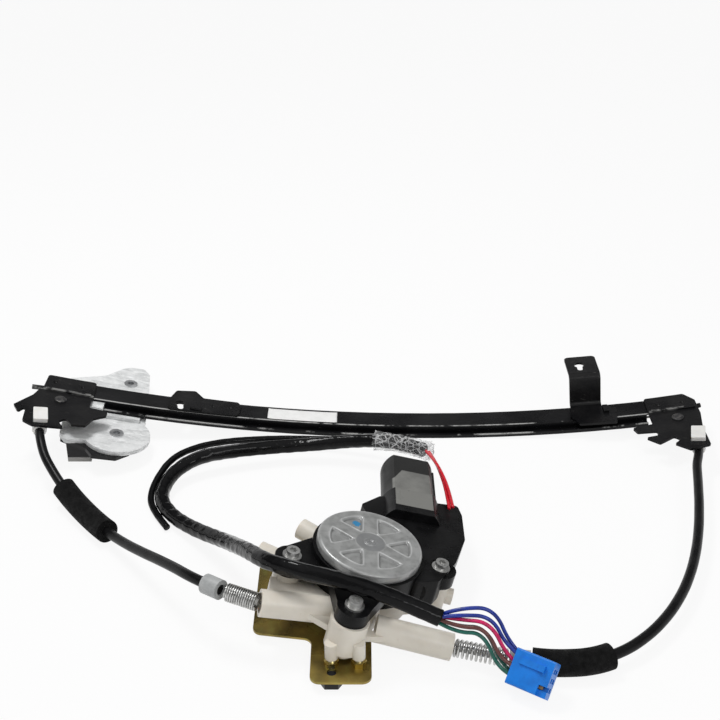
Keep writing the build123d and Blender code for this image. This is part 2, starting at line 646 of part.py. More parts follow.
def worm_wheel():
    """Nylon wheel with straight teeth set at the worm's lead angle and a well for the damper."""
    root = WHEEL_PITCH_R - TOOTH_HEIGHT
    high = WORM_Z + WHEEL_WIDTH / 2
    low = high - WHEEL_WIDTH
    body = Pos(0, 0, low) * extrude(Circle(root - 0.15), WHEEL_WIDTH)
    pitch = pi * MODULE
    wide, narrow = TOOTH_SHARE * pitch / 2 + 0.25, TOOTH_SHARE * pitch / 2 - 0.25
    tip = root + 2 * TOOTH_HEIGHT
    lean = WORM_LEAD / (2 * pi * WORM_PITCH_R) * WHEEL_WIDTH / 2
    section = make_face(Polyline((root - 0.4, -wide), (root - 0.4, wide), (tip, narrow),
                                 (tip, -narrow), close=True))
    tooth = Solid.extrude(Pos(0, -lean, low) * section.face(), Vector(0, 2 * lean, WHEEL_WIDTH))
    step = 360 / WHEEL_TEETH
    body += [Rot(0, 0, (count + 0.5) * step) * tooth for count in range(WHEEL_TEETH)]
    well = Circle(WELL_R) - Circle(HUB_R + 1.5)
    dogs = [Rot(0, 0, turn) * Pos(14, 0) * Rectangle(14, DOG) for turn in range(0, 360, 120)]
    body -= Pos(0, 0, low + 2) * extrude(well - dogs, WHEEL_WIDTH)
    return unit(body - Cylinder(HUB_R + FIT, ROOM))


def damper():
    """Rubber ring in the wheel's well, slotted for the wheel's dogs and the hub's."""
    low = WORM_Z - WHEEL_WIDTH / 2 + 2
    ring = Circle(WELL_R - GAP) - Circle(HUB_R + 1.5 + GAP)
    for turn in range(0, 360, 60):
        ring -= Rot(0, 0, turn) * Pos(14, 0) * Rectangle(16, DOG + 2 * GAP)
    return unit(Pos(0, 0, low) * extrude(ring, WHEEL_WIDTH - 2))


def drive_hub():
    """Steel plate with three dogs in the damper, and a hexagon that turns the drum."""
    high = WORM_Z + WHEEL_WIDTH / 2 + GAP + HUB_PLATE
    body = Pos(0, 0, high - HUB_PLATE) * extrude(Circle(WELL_R - 1), HUB_PLATE)
    for turn in range(60, 360, 120):
        dog = Rot(0, 0, turn) * Pos(14, 0) * Rectangle(7, DOG)
        body += Pos(0, 0, high - HUB_PLATE - 3.5) * extrude(dog, 3.6)
    body += rod((0, 0, high), (0, 0, DRUM_TOP + 0.3), HUB_R)
    hexagon = RegularPolygon(HEX_ACROSS / 2, 6, major_radius=False)
    body += Pos(0, 0, DRUM_TOP - DRUM_HEIGHT) * extrude(hexagon, DRUM_HEIGHT + 0.4)
    return unit(body - Cylinder(AXLE_R + FIT, ROOM))


def drum_levels():
    """Heights of the grooves' middles."""
    middle = DRUM_TOP - DRUM_HEIGHT / 2
    return [middle + (count - (GROOVES - 1) / 2) * GROOVE_PITCH for count in range(GROOVES)]


def cable_drum():
    """Grooved drum with a hexagonal bore, holes that save weight and a pocket for each end."""
    body = Pos(0, 0, DRUM_TOP - DRUM_HEIGHT) * extrude(Circle(DRUM_FLANGE_R), DRUM_HEIGHT)
    wire = CABLE_D / 2 + 0.02
    for level in drum_levels():
        body -= Pos(0, 0, level) * (Cylinder(ROOM / 4, 2 * wire) - Cylinder(DRUM_PITCH_R - wire,
                                                                         2 * wire))
    hexagon = RegularPolygon(HEX_ACROSS / 2 + FIT, 6, major_radius=False)
    body -= extrude(hexagon, ROOM / 2, both=True)
    for turn in range(30, 360, 60):
        body -= Rot(0, 0, turn) * Pos(16, 0) * Cylinder(4.5, ROOM)
    return unit(body)


def drum_wraps():
    """The cable on the drum, one ring in each groove."""
    rings = [Pos(0, 0, level) * Torus(DRUM_PITCH_R, CABLE_D / 2) for level in drum_levels()]
    return [unit(ring) for ring in rings]


def axle_pin():
    """Fixed pin that the wheel and the drum turn on, riveted over at its top."""
    high = COVER_TOP - 2.2
    body = rod((0, 0, HOUSING_BOTTOM), (0, 0, high), AXLE_R)
    return unit(fillet(body.edges().group_by(Axis.Z)[-1], 1.2))


parts["worm_wheel"] = worm_wheel()
parts["rubber_damper"] = damper()
parts["drive_hub"] = drive_hub()
parts["cable_drum"] = cable_drum()
parts["drum_cable_wraps"] = drum_wraps()
parts["axle_pin"] = axle_pin()


# ---------------------------------------------------------------- armature
WORM_FRAME = UNIT * Location(Plane((WORM_X, 0, WORM_Z), x_dir=(-1, 0, 0), z_dir=(0, 1, 0)))


def armature_shaft():
    """Steel shaft with a right-handed worm cut near its front end."""
    root = WORM_PITCH_R - TOOTH_HEIGHT
    half = WORM_LEAD * WORM_TURNS / 2
    body = rod((0, 0, SHAFT_START), (0, 0, SHAFT_END), SHAFT_R)
    body += rod((0, 0, -half - 0.6), (0, 0, half + 0.6), root)
    wide, narrow = TOOTH_SHARE * WORM_LEAD / 2 + 0.2, TOOTH_SHARE * WORM_LEAD / 2 - 0.2
    helix = Helix(WORM_LEAD, 2 * half, root - 0.2)
    profile = Polyline((0, -wide), (0.2 + 2 * TOOTH_HEIGHT, -narrow),
                       (0.2 + 2 * TOOTH_HEIGHT, narrow), (0, wide), close=True)
    section = Plane(helix @ 0, x_dir=(1, 0, 0), z_dir=helix % 0) * make_face(profile)
    thread = sweep(section, path=helix, is_frenet=True)
    body += Pos(0, 0, -half) * Rot(0, 0, 180 * WORM_TURNS) * thread
    return WORM_FRAME * body


def armature_core():
    """Laminated core with ten slots."""
    stack = Circle(CORE_R)
    for count in range(10):
        stack -= Rot(0, 0, 36 * count) * Pos(CORE_R - 3.0, 0) * Rectangle(7.0, 1.6)
    stack -= Circle(SHAFT_R)
    return WORM_FRAME * Pos(0, 0, CORE_START) * extrude(stack, CORE_LENGTH)


def commutator():
    """Copper bars on a moulded sleeve."""
    low, high = COMMUTATOR
    ring = Circle(COMMUTATOR_R) - Circle(SHAFT_R)
    for count in range(10):
        ring -= Rot(0, 0, 36 * count) * Pos(COMMUTATOR_R, 0) * Rectangle(1.4, 0.5)
    return WORM_FRAME * Pos(0, 0, low) * extrude(ring, high - low)


def windings():
    """Copper end turns at both ends of the core."""
    both = []
    for start in (CORE_START - 5.2, CORE_START + CORE_LENGTH + 0.2):
        turns = tube((0, 0, start), (0, 0, start + 5), CORE_R - 1.2, SHAFT_R + 1.0)
        turns = fillet(turns.edges().filter_by(GeomType.CIRCLE).sort_by(SortBy.RADIUS)[-2:], 1.8)
        both.append(WORM_FRAME * turns)
    return both


parts["armature_shaft"] = armature_shaft()
parts["armature_core"] = armature_core()
parts["commutator"] = commutator()
parts["armature_windings"] = windings()


# ---------------------------------------------------------------- motor can
def motor_can():
    """Drawn steel can with two flat sides and a domed bearing seat at its closed end."""
    length = CAN_END - CAN_START
    body = Pos(0, 0, CAN_START) * extrude(can_outline(0), length)
    body = fillet(body.edges().group_by(Axis.Z)[-1], 2.5)
    body -= Pos(0, 0, CAN_START - 1) * extrude(can_outline(-CAN_WALL), length + 1 - CAN_WALL)
    body += rod((0, 0, CAN_END - 1), (0, 0, CAN_END + 2.5), 6.5)
    body -= rod((0, 0, CAN_END - CAN_WALL - 1), (0, 0, CAN_END + 1.2), BEARING_R)
    return WORM_FRAME * body


def magnets():
    """Two arc magnets on the can's round sides."""
    inside = can_outline(-CAN_WALL - FIT) - Circle(CORE_R + AIR_GAP)
    both = []
    for side in (-1, 1):
        arc = inside & Pos(side * 14, 0) * Rectangle(14, 20)
        magnet = Pos(0, 0, CORE_START - 3) * extrude(arc, CORE_LENGTH + 6)
        both += [WORM_FRAME * piece for piece in magnet.solids()]
    return both


def bearings():
    """Sintered bushes at the shaft's ends."""
    rear = tube((0, 0, CAN_END - CAN_WALL - 5), (0, 0, CAN_END + 1), BEARING_R - FIT,
                SHAFT_R + FIT)
    front = tube((0, 0, SHAFT_START), (0, 0, SHAFT_START + 4), BEARING_R, SHAFT_R + FIT)
    return [WORM_FRAME * rear, WORM_FRAME * front]


def brushes():
    """Carbon blocks in their brass boxes, pressed on the commutator from both sides."""
    low, high = COMMUTATOR
    middle = (low + high) / 2
    blocks = []
    for side in (-1, 1):
        start = COMMUTATOR_R + GAP
        block = sketch_box(start, start + 7, -2.5, 2.5, middle - 3, middle + 3)
        blocks.append(WORM_FRAME * Rot(0, 0, 90 - 90 * side) * block)
    return blocks


def brush_strip():
    """Insulating card round the can's side, held by four small rivets."""
    ring = Circle(CAN_R + 1.2) - Circle(CAN_R + FIT)
    card = Pos(0, 0, CAN_START + 10) * extrude(ring & Pos(-20, 0) * Rectangle(16, 17), 34)
    for reach in (13, 22, 31, 40):
        card += Pos(-CAN_R - 1.2, 0, CAN_START + reach) * Sphere(1.1)
    return WORM_FRAME * card


parts["insulating_card"] = brush_strip()
parts["motor_can"] = motor_can()
parts["motor_magnets"] = magnets()
parts["shaft_bearings"] = bearings()
parts["carbon_brushes"] = brushes()


# ---------------------------------------------------------------- drum housing and its arms


def arm_axis(arm, reach):
    """A point on a cable arm's axis, this far out from its root."""
    start, end = (Vector(x, y, ARM_Z) for x, y in arm)
    return start + (end - start).normalized() * reach


def arm_length(arm):
    (x_0, y_0), (x_1, y_1) = arm
    return sqrt((x_1 - x_0) ** 2 + (y_1 - y_0) ** 2)


def tail_of(arm, side):
    """The cable's line from the arm's mouth to where it would meet the drum."""
    mouth = arm_axis(arm, arm_length(arm))
    far = sqrt(mouth.X ** 2 + mouth.Y ** 2)
    level = drum_levels()[-1 if side == "left" else 0]
    lean = asin(DRUM_PITCH_R / far)
    heading = atan2(-mouth.Y, -mouth.X) + (lean if side == "right" else -lean)
    reach = sqrt(far ** 2 - DRUM_PITCH_R ** 2)
    near = reach - sqrt((DRUM_FLANGE_R + 1.6) ** 2 - DRUM_PITCH_R ** 2)
    share = near / reach
    end = Vector(mouth.X + near * cos(heading), mouth.Y + near * sin(heading),
                 mouth.Z + (level - mouth.Z) * share)
    return mouth, end


def drum_housing():
    """White moulding under the gearbox: a cup for the drum and two arms for the cables."""
    low, high = HOUSING_BOTTOM, CUP_FLOOR - 0.1
    plan = Circle(DRUM_WALL_R) + make_face(Polyline(*LEFT_BLOCK, close=True))
    body = Pos(0, 0, low) * extrude(plan, high - low)
    for x, y in SCREWS[:2]:
        body += lug_arm(x, y, ARM_POST_R, LUG_POST_LOW, MOTOR_END_LOW - 0.2)
        body += rod((x, y, LUG_POST_LOW), (x, y, -LUG_THICKNESS - 0.1), ARM_POST_R)
    x, y = SCREWS[2]
    body += rod((x, y, low), (x, y, -LUG_THICKNESS - 0.1), BOSS_R)
    body += rod((x, y, low - BOSS_FOOT), (x, y, low), BOSS_FOOT_R)
    bridge = make_face(Polyline((-18, -27), (x - 9, y + 2), (x + 9, y + 2), (15, -27), close=True))
    body += Pos(0, 0, low) * extrude(bridge, high - low)
    for arm in (LEFT_ARM, RIGHT_ARM):
        reach = arm_length(arm)
        body += rod(arm_axis(arm, 0), arm_axis(arm, reach), ARM_D / 2)
        start, middle = arm_axis(arm, 0), arm_axis(arm, reach * 0.62)
        flare = make_face(Polyline((x, y + 10), (start.X, start.Y - 6), (middle.X, middle.Y),
                                   (x, y - 6), close=True))
        body += Pos(0, 0, ARM_Z - 2) * extrude(flare, 4)
    body -= Pos(0, 0, CUP_FLOOR - 0.1) * extrude(Circle(CUP_R + 0.1), ROOM)
    for stub_root, stub_end, radius, level in STUBS:
        body += rod((*stub_root, level), (*stub_end, level), radius)
    for x, y in POSTS:
        body += unit_inverse(rod((x, y, POST_FOOT), (x, y, POST_TOP), POST_R))
    cavity = Circle(CAVITY_R)
    body -= Pos(0, 0, low + HOUSING_FLOOR) * extrude(cavity, ROOM)
    for arm in (LEFT_ARM, RIGHT_ARM):
        reach = arm_length(arm)
        body -= rod(arm_axis(arm, reach - 18), arm_axis(arm, reach + 1), ARM_BORE / 2)
    for arm, side in ((LEFT_ARM, "left"), (RIGHT_ARM, "right")):
        body -= rod(*tail_of(arm, side), CABLE_D / 2 + 0.7)
    for x, y in SCREWS:
        body -= rod((x, y, -SCREW_LENGTH), (x, y, 0), SCREW_R + FIT)
    body -= Cylinder(AXLE_R + 0.02, ROOM)
    body -= rod((WORM_X, -22, WORM_Z), (WORM_X, 22, WORM_Z), TUNNEL_R + 0.1)
    for x, y in POSTS:
        body -= unit_inverse(rod((x, y, POST_FOOT - 1), (x, y, POST_FOOT + 6.1), STUD_R + FIT))
    return unit(body)


def unit_inverse(shape):
    return UNIT.inverse() * shape


def cable_tails():
    """The cable from each arm's mouth to beside the drum."""
    both = []
    for arm, side in ((LEFT_ARM, "left"), (RIGHT_ARM, "right")):
        both.append(unit(rod(*tail_of(arm, side), CABLE_D / 2)))
    return both


def cover_screws():
    """Flanged screws with six-lobed sockets that join the lugs to the housing."""
    three = []
    for x, y in SCREWS:
        body = rod((x, y, -SCREW_LENGTH), (x, y, 1), SCREW_R)
        body += rod((x, y, 0), (x, y, 1.4), FLANGE_HEAD_R)
        body += rod((x, y, 1), (x, y, 5.0), HEAD_R)
        socket = Circle(1.9)
        for turn in range(0, 360, 60):
            socket += Rot(0, 0, turn) * Pos(1.9, 0) * Circle(0.6)
        body -= Pos(x, y, 2.6) * extrude(socket, 5)
        three.append(unit(body))
    return three


parts["drum_housing"] = drum_housing()
parts["drum_cable_tails"] = cable_tails()
parts["cover_screws"] = cover_screws()


# ---------------------------------------------------------------- mounting plate of the unit


def foot_plate():
    outline = rounded(PLATE_OUTLINE, 6.0)
    for x, y in SPACERS:
        outline -= Pos(x, y) * Circle(SPACER_BORE_R)
    for x, y in POSTS:
        outline -= Pos(x, y) * Circle(STUD_R)
    return Pos(0, 0, SPACER_HEIGHT) * extrude(outline, FOOT_PLATE)


def spacers():
    """Hexagonal spacers under the plate, threaded through."""
    three = []
    for x, y in SPACERS:
        section = RegularPolygon(SPACER_ACROSS / 2, 6, major_radius=False) - Circle(SPACER_BORE_R)
        three.append(Pos(x, y) * extrude(section, SPACER_HEIGHT))
    return three


def plate_studs():
    """Studs welded into the plate, screwed up into the housing's posts."""
    return [rod((x, y, SPACER_HEIGHT), (x, y, POST_FOOT + 6), STUD_R) for x, y in POSTS]


def stud_nuts():
    """Hexagonal nuts on the plate."""
    low = SPACER_HEIGHT + FOOT_PLATE
    nut = RegularPolygon(4.0, 6, major_radius=False) - Circle(STUD_R + 0.05)
    return [Pos(x, y, low) * extrude(nut, 3.6) for x, y in POSTS]


parts["foot_plate"] = foot_plate()
parts["plate_studs"] = plate_studs()
parts["stud_nuts"] = stud_nuts()
parts["plate_spacers"] = spacers()


# ---------------------------------------------------------------- conduits and other cords
def radii(points):
    """Bend radius at each inner corner of a route, as wide as its shorter run allows."""
    points = [Vector(*point) for point in points]
    bends = []
    for before, here, after in zip(points, points[1:], points[2:]):
        shorter = min((here - before).length, (after - here).length)
        half = radians((here - before).get_angle(after - here)) / 2
        bends.append(min(0.45 * shorter / tan(half), 400.0))
    return bends


def cord(name, points, thickness):
    """A round cord along a route of straight runs and round bends."""
    bends = radii(points)
    path = FilletPolyline(*points, radius=bends)
    section = Plane(path @ 0, z_dir=path % 0) * Circle(thickness / 2)
    solid = sweep(section, path=path)
    runs = [(Vector(*b) - Vector(*a)).length for a, b in zip(points, points[1:])]
    turns = [(Vector(*b) - Vector(*a)).get_angle(Vector(*c) - Vector(*b))
             for a, b, c in zip(points, points[1:], points[2:])]
    share = solid.volume / (pi * thickness ** 2 / 4 * path.length)
    low = solid.bounding_box().min.Z
    print(f"{name}: length {path.length:.0f}, volume/section {share:.3f}, low {low:.1f}, "
          f"least bend {min(bends) / thickness:.1f} diameters")
    print("  runs", [round(run) for run in runs], "turns", [round(turn) for turn in turns])
    print("  radii", [round(bend, 1) for bend in bends])
    return solid


def point(place, x, y, z=0.0):
    spot = (place * Pos(x, y, z)).position
    return spot.X, spot.Y, spot.Z


def conduit_start(side):
    """From the conduit's end face in its block, straight out past the mouth."""
    mouth = -BLOCK[1] / 2 - 2.5
    return [point(block_seat(side), 0, mouth + SOCKET), point(block_seat(side), 0, mouth - 7)]


LEFT_ROUTE = conduit_start("left") + [
    (-236.7, 34.8, 26.4), (-225.2, 19.4, 16.9), (-212.2, 3.6, 10.7), (-198.8, -12.9, 8.4),
    (-185.4, -29.5, 8.6), (-172.0, -46.0, 11.2), (-158.9, -62.3, 15.8), (-146.0, -78.4, 21.7),
    (-133.2, -94.4, 28.0), (-120.4, -110.4, 33.9), (-107.3, -126.7, 38.8),
    (-88.8, -139.9, 39.8)]
RIGHT_ROUTE = conduit_start("right") + [
    (248.1, 38.2, 16.9), (243.4, 14.0, 16.2), (238.4, -10.3, 15.3), (232.7, -34.3, 14.4),
    (225.9, -58.1, 13.3), (217.5, -81.3, 12.3), (207.0, -103.7, 11.3), (194.0, -124.7, 10.4),
    (178.2, -143.7, 9.6), (159.4, -159.7, 9.1), (137.0, -170.0, 8.9), (112.4, -171.5, 9.0),
    (88.1, -167.1, 9.0)]


def along(first, second, reach):
    """A point this far from one point of a route towards the next."""
    first, second = Vector(*first), Vector(*second)
    spot = first + (second - first).normalized() * reach
    return spot.X, spot.Y, spot.Z


def stretch(route, first, last):
    """The route from the middle of one run to the middle of another."""
    start = along(route[first - 1], route[first],
                  (Vector(*route[first]) - Vector(*route[first - 1])).length / 2)
    end = along(route[last], route[last + 1],
                (Vector(*route[last + 1]) - Vector(*route[last])).length / 2)
    return [start, *route[first:last + 1], end]


def sleeve(name, route, span):
    """Foam sleeve pushed over a conduit; it keeps the conduit's own bends."""
    full = radii(route)
    first, last = span
    bends = full[first - 1:last]
    path = FilletPolyline(*stretch(route, first, last), radius=bends)
    section = Plane(path @ 0, z_dir=path % 0) * (Circle(SLEEVE_D / 2) -
                                                 Circle(CONDUIT_D / 2 + FIT))
    solid = sweep(section, path=path)
    print(f"{name}: length {path.length:.0f}, low {solid.bounding_box().min.Z:.1f}")
    return solid


def ferrule(route):
    """Crimped collar on a conduit's end."""
    end, before = route[-1], route[-2]
    return tube(along(end, before, FERRULE_LENGTH - 1), along(end, before, -1.0),
                FERRULE_D / 2, CONDUIT_D / 2 + FIT)


def spring(start, end, coils, wire):
    """Coil spring from a ferrule to its arm, drawn as separate turns on the cable's liner."""
    start, end = Vector(*start), Vector(*end)
    reach = (end - start).length
    turns = []
    place = Location(Plane(start, z_dir=end - start))
    for count in range(coils):
        middle = (count + 0.5) * reach / coils
        outer, inner = SPRING_D / 2, SPRING_D / 2 - wire
        ring = Polyline((outer - 0.35 * wire, -wire / 2), (outer, 0), (outer - 0.35 * wire, wire / 2),
                        (inner, wire / 2), (inner, -wire / 2), close=True)
        turns.append(place * Pos(0, 0, middle) * revolve(Plane.XZ * make_face(ring), Axis.Z))
    turns.append(rod(start, end, SPRING_D / 2 - wire - 0.02))
    return turns


def mouth_of(arm):
    spot = unit(Pos(*arm_axis(arm, arm_length(arm)))).position
    return spot.X, spot.Y, spot.Z


ROUTES = {"left": LEFT_ROUTE, "right": RIGHT_ROUTE}
ARMS = {"left": LEFT_ARM, "right": RIGHT_ARM}
SPANS = {"left": LEFT_SLEEVE, "right": RIGHT_SLEEVE}
COILS = {"left": LEFT_COILS, "right": RIGHT_COILS}
SPRING_START = {"left": 3.2, "right": 1.0}
for side, route in ROUTES.items():
    parts[f"conduit_{side}"] = cord(f"conduit_{side}", route, CONDUIT_D)
    parts[f"conduit_sleeve_{side}"] = sleeve(f"conduit_sleeve_{side}", route, SPANS[side])
    parts[f"conduit_ferrule_{side}"] = ferrule(route)
    front = along(route[-1], route[-2], -1.2)
    mouth = mouth_of(ARMS[side])
    room = (Vector(*mouth) - Vector(*front)).length
    parts[f"conduit_spring_{side}"] = spring(along(front, mouth, SPRING_START[side]),
                                             along(mouth, front, 1.0),
                                             COILS[side], SPRING_WIRE)
    print(side, "spring room", round(room, 1))


# ---------------------------------------------------------------- harness and connector
parts["harness"] = cord("harness", HARNESS_ROUTE, HARNESS_D)
parts["harness_branch"] = cord("harness_branch", BRANCH_ROUTE, BRANCH_D)
parts["motor_leads"] = cord("motor_leads", LEADS_ROUTE, LEADS_D)

PLUG_FRAME = Location(PLUG_CENTRE) * Rot(0, 0, PLUG_YAW) * Rot(PLUG_TIP, 0, 0)


def plug(shape):
    return PLUG_FRAME * shape


def connector():
    """Flat plug housing: open where the wires enter, with six cavities and a locking tab."""
    long, wide, thick = PLUG
    body = fillet(Box(long, wide, thick).edges().filter_by(Axis.X), 1.2)
    body = Pos(0, 0, -thick / 2) * body
    pocket = Box(9.0, wide - 2 * PLUG_WALL, thick - 2 * PLUG_WALL)
    body -= Pos(-long / 2 + 4.0, 0, -thick / 2) * pocket
    for x, y in WIRE_PLACES:
        body -= Pos(4.2, x, y - thick / 2) * Box(long - 8, 2.8, 2.8)
    body += sketch_box(-8, 8, 2.5, 6.5, -0.1, 1.2) + sketch_box(4, 8, 2.5, 6.5, -0.1, 2.2)
    body -= sketch_box(7, 20, -11.5, -4.5, -3.0, 1)
    return plug(body)


WIRE_PLACES = [(across, level) for level in (-1.9, 1.9) for across in (-5.6, 0, 5.6)]


def terminals():
    """Six crimped pins, one in each of the plug's cavities."""
    pins = []
    for across, level in WIRE_PLACES:
        pins.append(plug(Pos(2.5, across, level - PLUG[2] / 2) * Box(14, 1.8, 1.8)))
    return pins


def wire_route(across, level):
    """From the harness's end, arching over to this wire's cavity."""
    entry = Vector(*point(PLUG_FRAME, -PLUG[0] / 2 + 7.6, across, level - PLUG[2] / 2))
    out = Vector(*point(PLUG_FRAME, -PLUG[0] / 2 - 7, across, level - PLUG[2] / 2))
    end, before = Vector(*HARNESS_ROUTE[-1]), Vector(*HARNESS_ROUTE[-2])
    ahead = (end - before).normalized()
    side = ahead.cross(Vector(0, 0, 1)).normalized()
    up = side.cross(ahead)
    spread = up * (across * 0.48) + side * (level * 0.75)
    fan = up * (across * 0.75) + side * (level * 0.9)
    begin = end + ahead * 0.5 + spread
    return [tuple(begin), tuple(end + ahead * 12.5 + spread), tuple(Vector(*ARCH) + fan),
            tuple(out), tuple(entry)]


for colour, layout in WIRES.items():
    parts[f"wire_{colour}"] = cord(f"wire_{colour}", wire_route(*layout), WIRE_D)
parts["connector"] = connector()
parts["connector_terminals"] = terminals()

os.makedirs("parts", exist_ok=True)
for name, shape in parts.items():
    export_step(Compound(children=shape) if isinstance(shape, list) else shape,
                f"parts/{name}.step")
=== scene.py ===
from math import atan2, cos, pi, radians, sin, sqrt

import bpy
import numpy as np
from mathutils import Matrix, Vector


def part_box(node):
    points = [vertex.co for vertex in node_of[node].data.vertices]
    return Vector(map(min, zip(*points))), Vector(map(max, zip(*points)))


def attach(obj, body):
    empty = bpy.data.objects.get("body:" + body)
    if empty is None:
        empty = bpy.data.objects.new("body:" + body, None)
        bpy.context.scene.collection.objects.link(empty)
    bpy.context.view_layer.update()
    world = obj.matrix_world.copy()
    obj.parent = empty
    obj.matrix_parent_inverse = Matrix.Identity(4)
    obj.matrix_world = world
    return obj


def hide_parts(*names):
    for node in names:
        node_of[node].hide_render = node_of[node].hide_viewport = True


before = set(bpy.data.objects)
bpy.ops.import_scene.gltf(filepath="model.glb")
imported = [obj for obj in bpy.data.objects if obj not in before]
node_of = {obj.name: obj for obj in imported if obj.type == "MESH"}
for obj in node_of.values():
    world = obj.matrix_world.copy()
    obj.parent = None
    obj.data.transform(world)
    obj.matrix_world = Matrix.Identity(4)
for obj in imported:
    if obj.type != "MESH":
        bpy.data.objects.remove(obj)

bpy.context.view_layer.update()


# ---------------------------------------------------------------- guide rail
# A long strip of 1.5 mm steel, rolled into a flange with a shallow channel
# along its front edge, bent to the door's curve and dipped in black paint.

def mapped(tree, value, low, high, at_low=0.0, at_high=1.0):
    """A level that goes evenly from one number at low to another at high, and stays there."""
    node = tree.nodes.new("ShaderNodeMapRange")
    ends = zip(("From Min", "From Max", "To Min", "To Max"), (low, high, at_low, at_high))
    for socket, number in ends:
        node.inputs[socket].default_value = number
    tree.links.new(value, node.inputs["Value"])
    return node.outputs["Result"]


def calc(tree, operation, *values):
    """One step of arithmetic on sockets and numbers."""
    node = tree.nodes.new("ShaderNodeMath")
    node.operation = operation
    for socket, value in zip(node.inputs, values):
        if isinstance(value, bpy.types.NodeSocket):
            tree.links.new(value, socket)
        else:
            socket.default_value = value
    return node.outputs[0]


def place_of(made):
    """The object's own coordinates."""
    return made.node_tree.nodes.new("ShaderNodeTexCoord").outputs["Object"]


def cloud(tree, vector, size, detail, harsh=0.5):
    """A noise whose lumps have this size in metres; the finer ones are harsh by their share."""
    noise = tree.nodes.new("ShaderNodeTexNoise")
    noise.inputs["Scale"].default_value = 1.0 / size
    noise.inputs["Detail"].default_value = detail
    noise.inputs["Roughness"].default_value = harsh
    tree.links.new(vector, noise.inputs["Vector"])
    return noise.outputs["Fac"]


SLOWER, FINER = 1.7, 8


def finish(name, colour, other, grain, rough, metal=0.0, bump=0.15, depth=0.00005,
           spread=(0.4, 0.65), gloss=0.5):
    """A finish that drifts between two colours with a soft noise of this grain in metres.

    A slower noise moves the roughness between its two limits, and a finer one
    lifts the surface by the depth. The gloss is how strongly the surface
    mirrors straight on: 0.5 is a common plastic, and less is a duller one.
    """
    made = bpy.data.materials.new(name)
    made.use_nodes = True
    tree = made.node_tree
    shader = tree.nodes["Principled BSDF"]
    shader.inputs["Metallic"].default_value = metal
    shader.inputs["Specular IOR Level"].default_value = gloss
    place = place_of(made)
    drift = mapped(tree, cloud(tree, place, grain, 4.0), *spread)
    rubbed = mapped(tree, cloud(tree, place, grain * SLOWER, 3.0), 0.35, 0.65, *rough)
    relief = mapped(tree, cloud(tree, place, grain / FINER, 3.0), 0.3, 0.7)
    mix = tree.nodes.new("ShaderNodeMix")
    mix.data_type = "RGBA"
    mix.inputs["A"].default_value = (*colour, 1)
    mix.inputs["B"].default_value = (*other, 1)
    tree.links.new(drift, mix.inputs["Factor"])
    tree.links.new(mix.outputs["Result"], shader.inputs["Base Color"])
    tree.links.new(rubbed, shader.inputs["Roughness"])
    lift = tree.nodes.new("ShaderNodeBump")
    lift.inputs["Strength"].default_value = bump
    lift.inputs["Distance"].default_value = depth
    tree.links.new(relief, lift.inputs["Height"])
    tree.links.new(lift.outputs["Normal"], shader.inputs["Normal"])
    return made


def overlay(made, colour, source, strength=1.0):
    """Lays a second colour over a finish's paint where the source is high."""
    tree = made.node_tree
    paint = tree.nodes["Principled BSDF"].inputs["Base Color"]
    under = paint.links[0].from_socket
    mix = tree.nodes.new("ShaderNodeMix")
    mix.data_type = "RGBA"
    tree.links.new(calc(tree, "MULTIPLY", source, strength), mix.inputs["Factor"])
    tree.links.new(under, mix.inputs["A"])
    mix.inputs["B"].default_value = (*colour, 1)
    tree.links.new(mix.outputs["Result"], paint)


def streaks(made, size, stretch, low, high, turned=0.0):
    """A mask of thin scuffs: a noise squeezed along one direction and cut at a level."""
    tree = made.node_tree
    pull = tree.nodes.new("ShaderNodeMapping")
    pull.inputs["Scale"].default_value = stretch
    pull.inputs["Rotation"].default_value = (0, 0, turned)
    tree.links.new(place_of(made), pull.inputs["Vector"])
    return mapped(tree, cloud(tree, pull.outputs["Vector"], size, 6.0, 0.7), low, high)


def dress(made, *names):
    """Gives a finish to CAD nodes as they stand."""
    for name in names:
        for place in node_of[name].material_slots:
            place.material = made


def parts_of(made, vector):
    """The three coordinates of a vector."""
    split = made.node_tree.nodes.new("ShaderNodeSeparateXYZ")
    made.node_tree.links.new(vector, split.inputs["Vector"])
    return split.outputs


def band(made, value, low, high):
    """A mask that rises from none at low to full at high."""
    return mapped(made.node_tree, value, low, high)


def both(made, first, second):
    """The product of two masks."""
    return calc(made.node_tree, "MULTIPLY", first, second)


def line_at(made, value, middle, half, soft):
    """A mask of a line: full within half its width of the middle, none a soft edge further out."""
    return both(made, band(made, value, middle - half - soft, middle - half),
                band(made, value, middle + half + soft, middle + half))


def reach_from(made, vector, kept, centre):
    """Distance from a centre, counting only the coordinates that are kept: 1 keeps one, 0 drops it."""
    tree = made.node_tree
    flat = tree.nodes.new("ShaderNodeVectorMath")
    flat.operation = "MULTIPLY"
    flat.inputs[1].default_value = kept
    away = tree.nodes.new("ShaderNodeVectorMath")
    away.operation = "DISTANCE"
    away.inputs[1].default_value = centre
    tree.links.new(vector, flat.inputs[0])
    tree.links.new(flat.outputs["Vector"], away.inputs[0])
    return away.outputs["Value"]


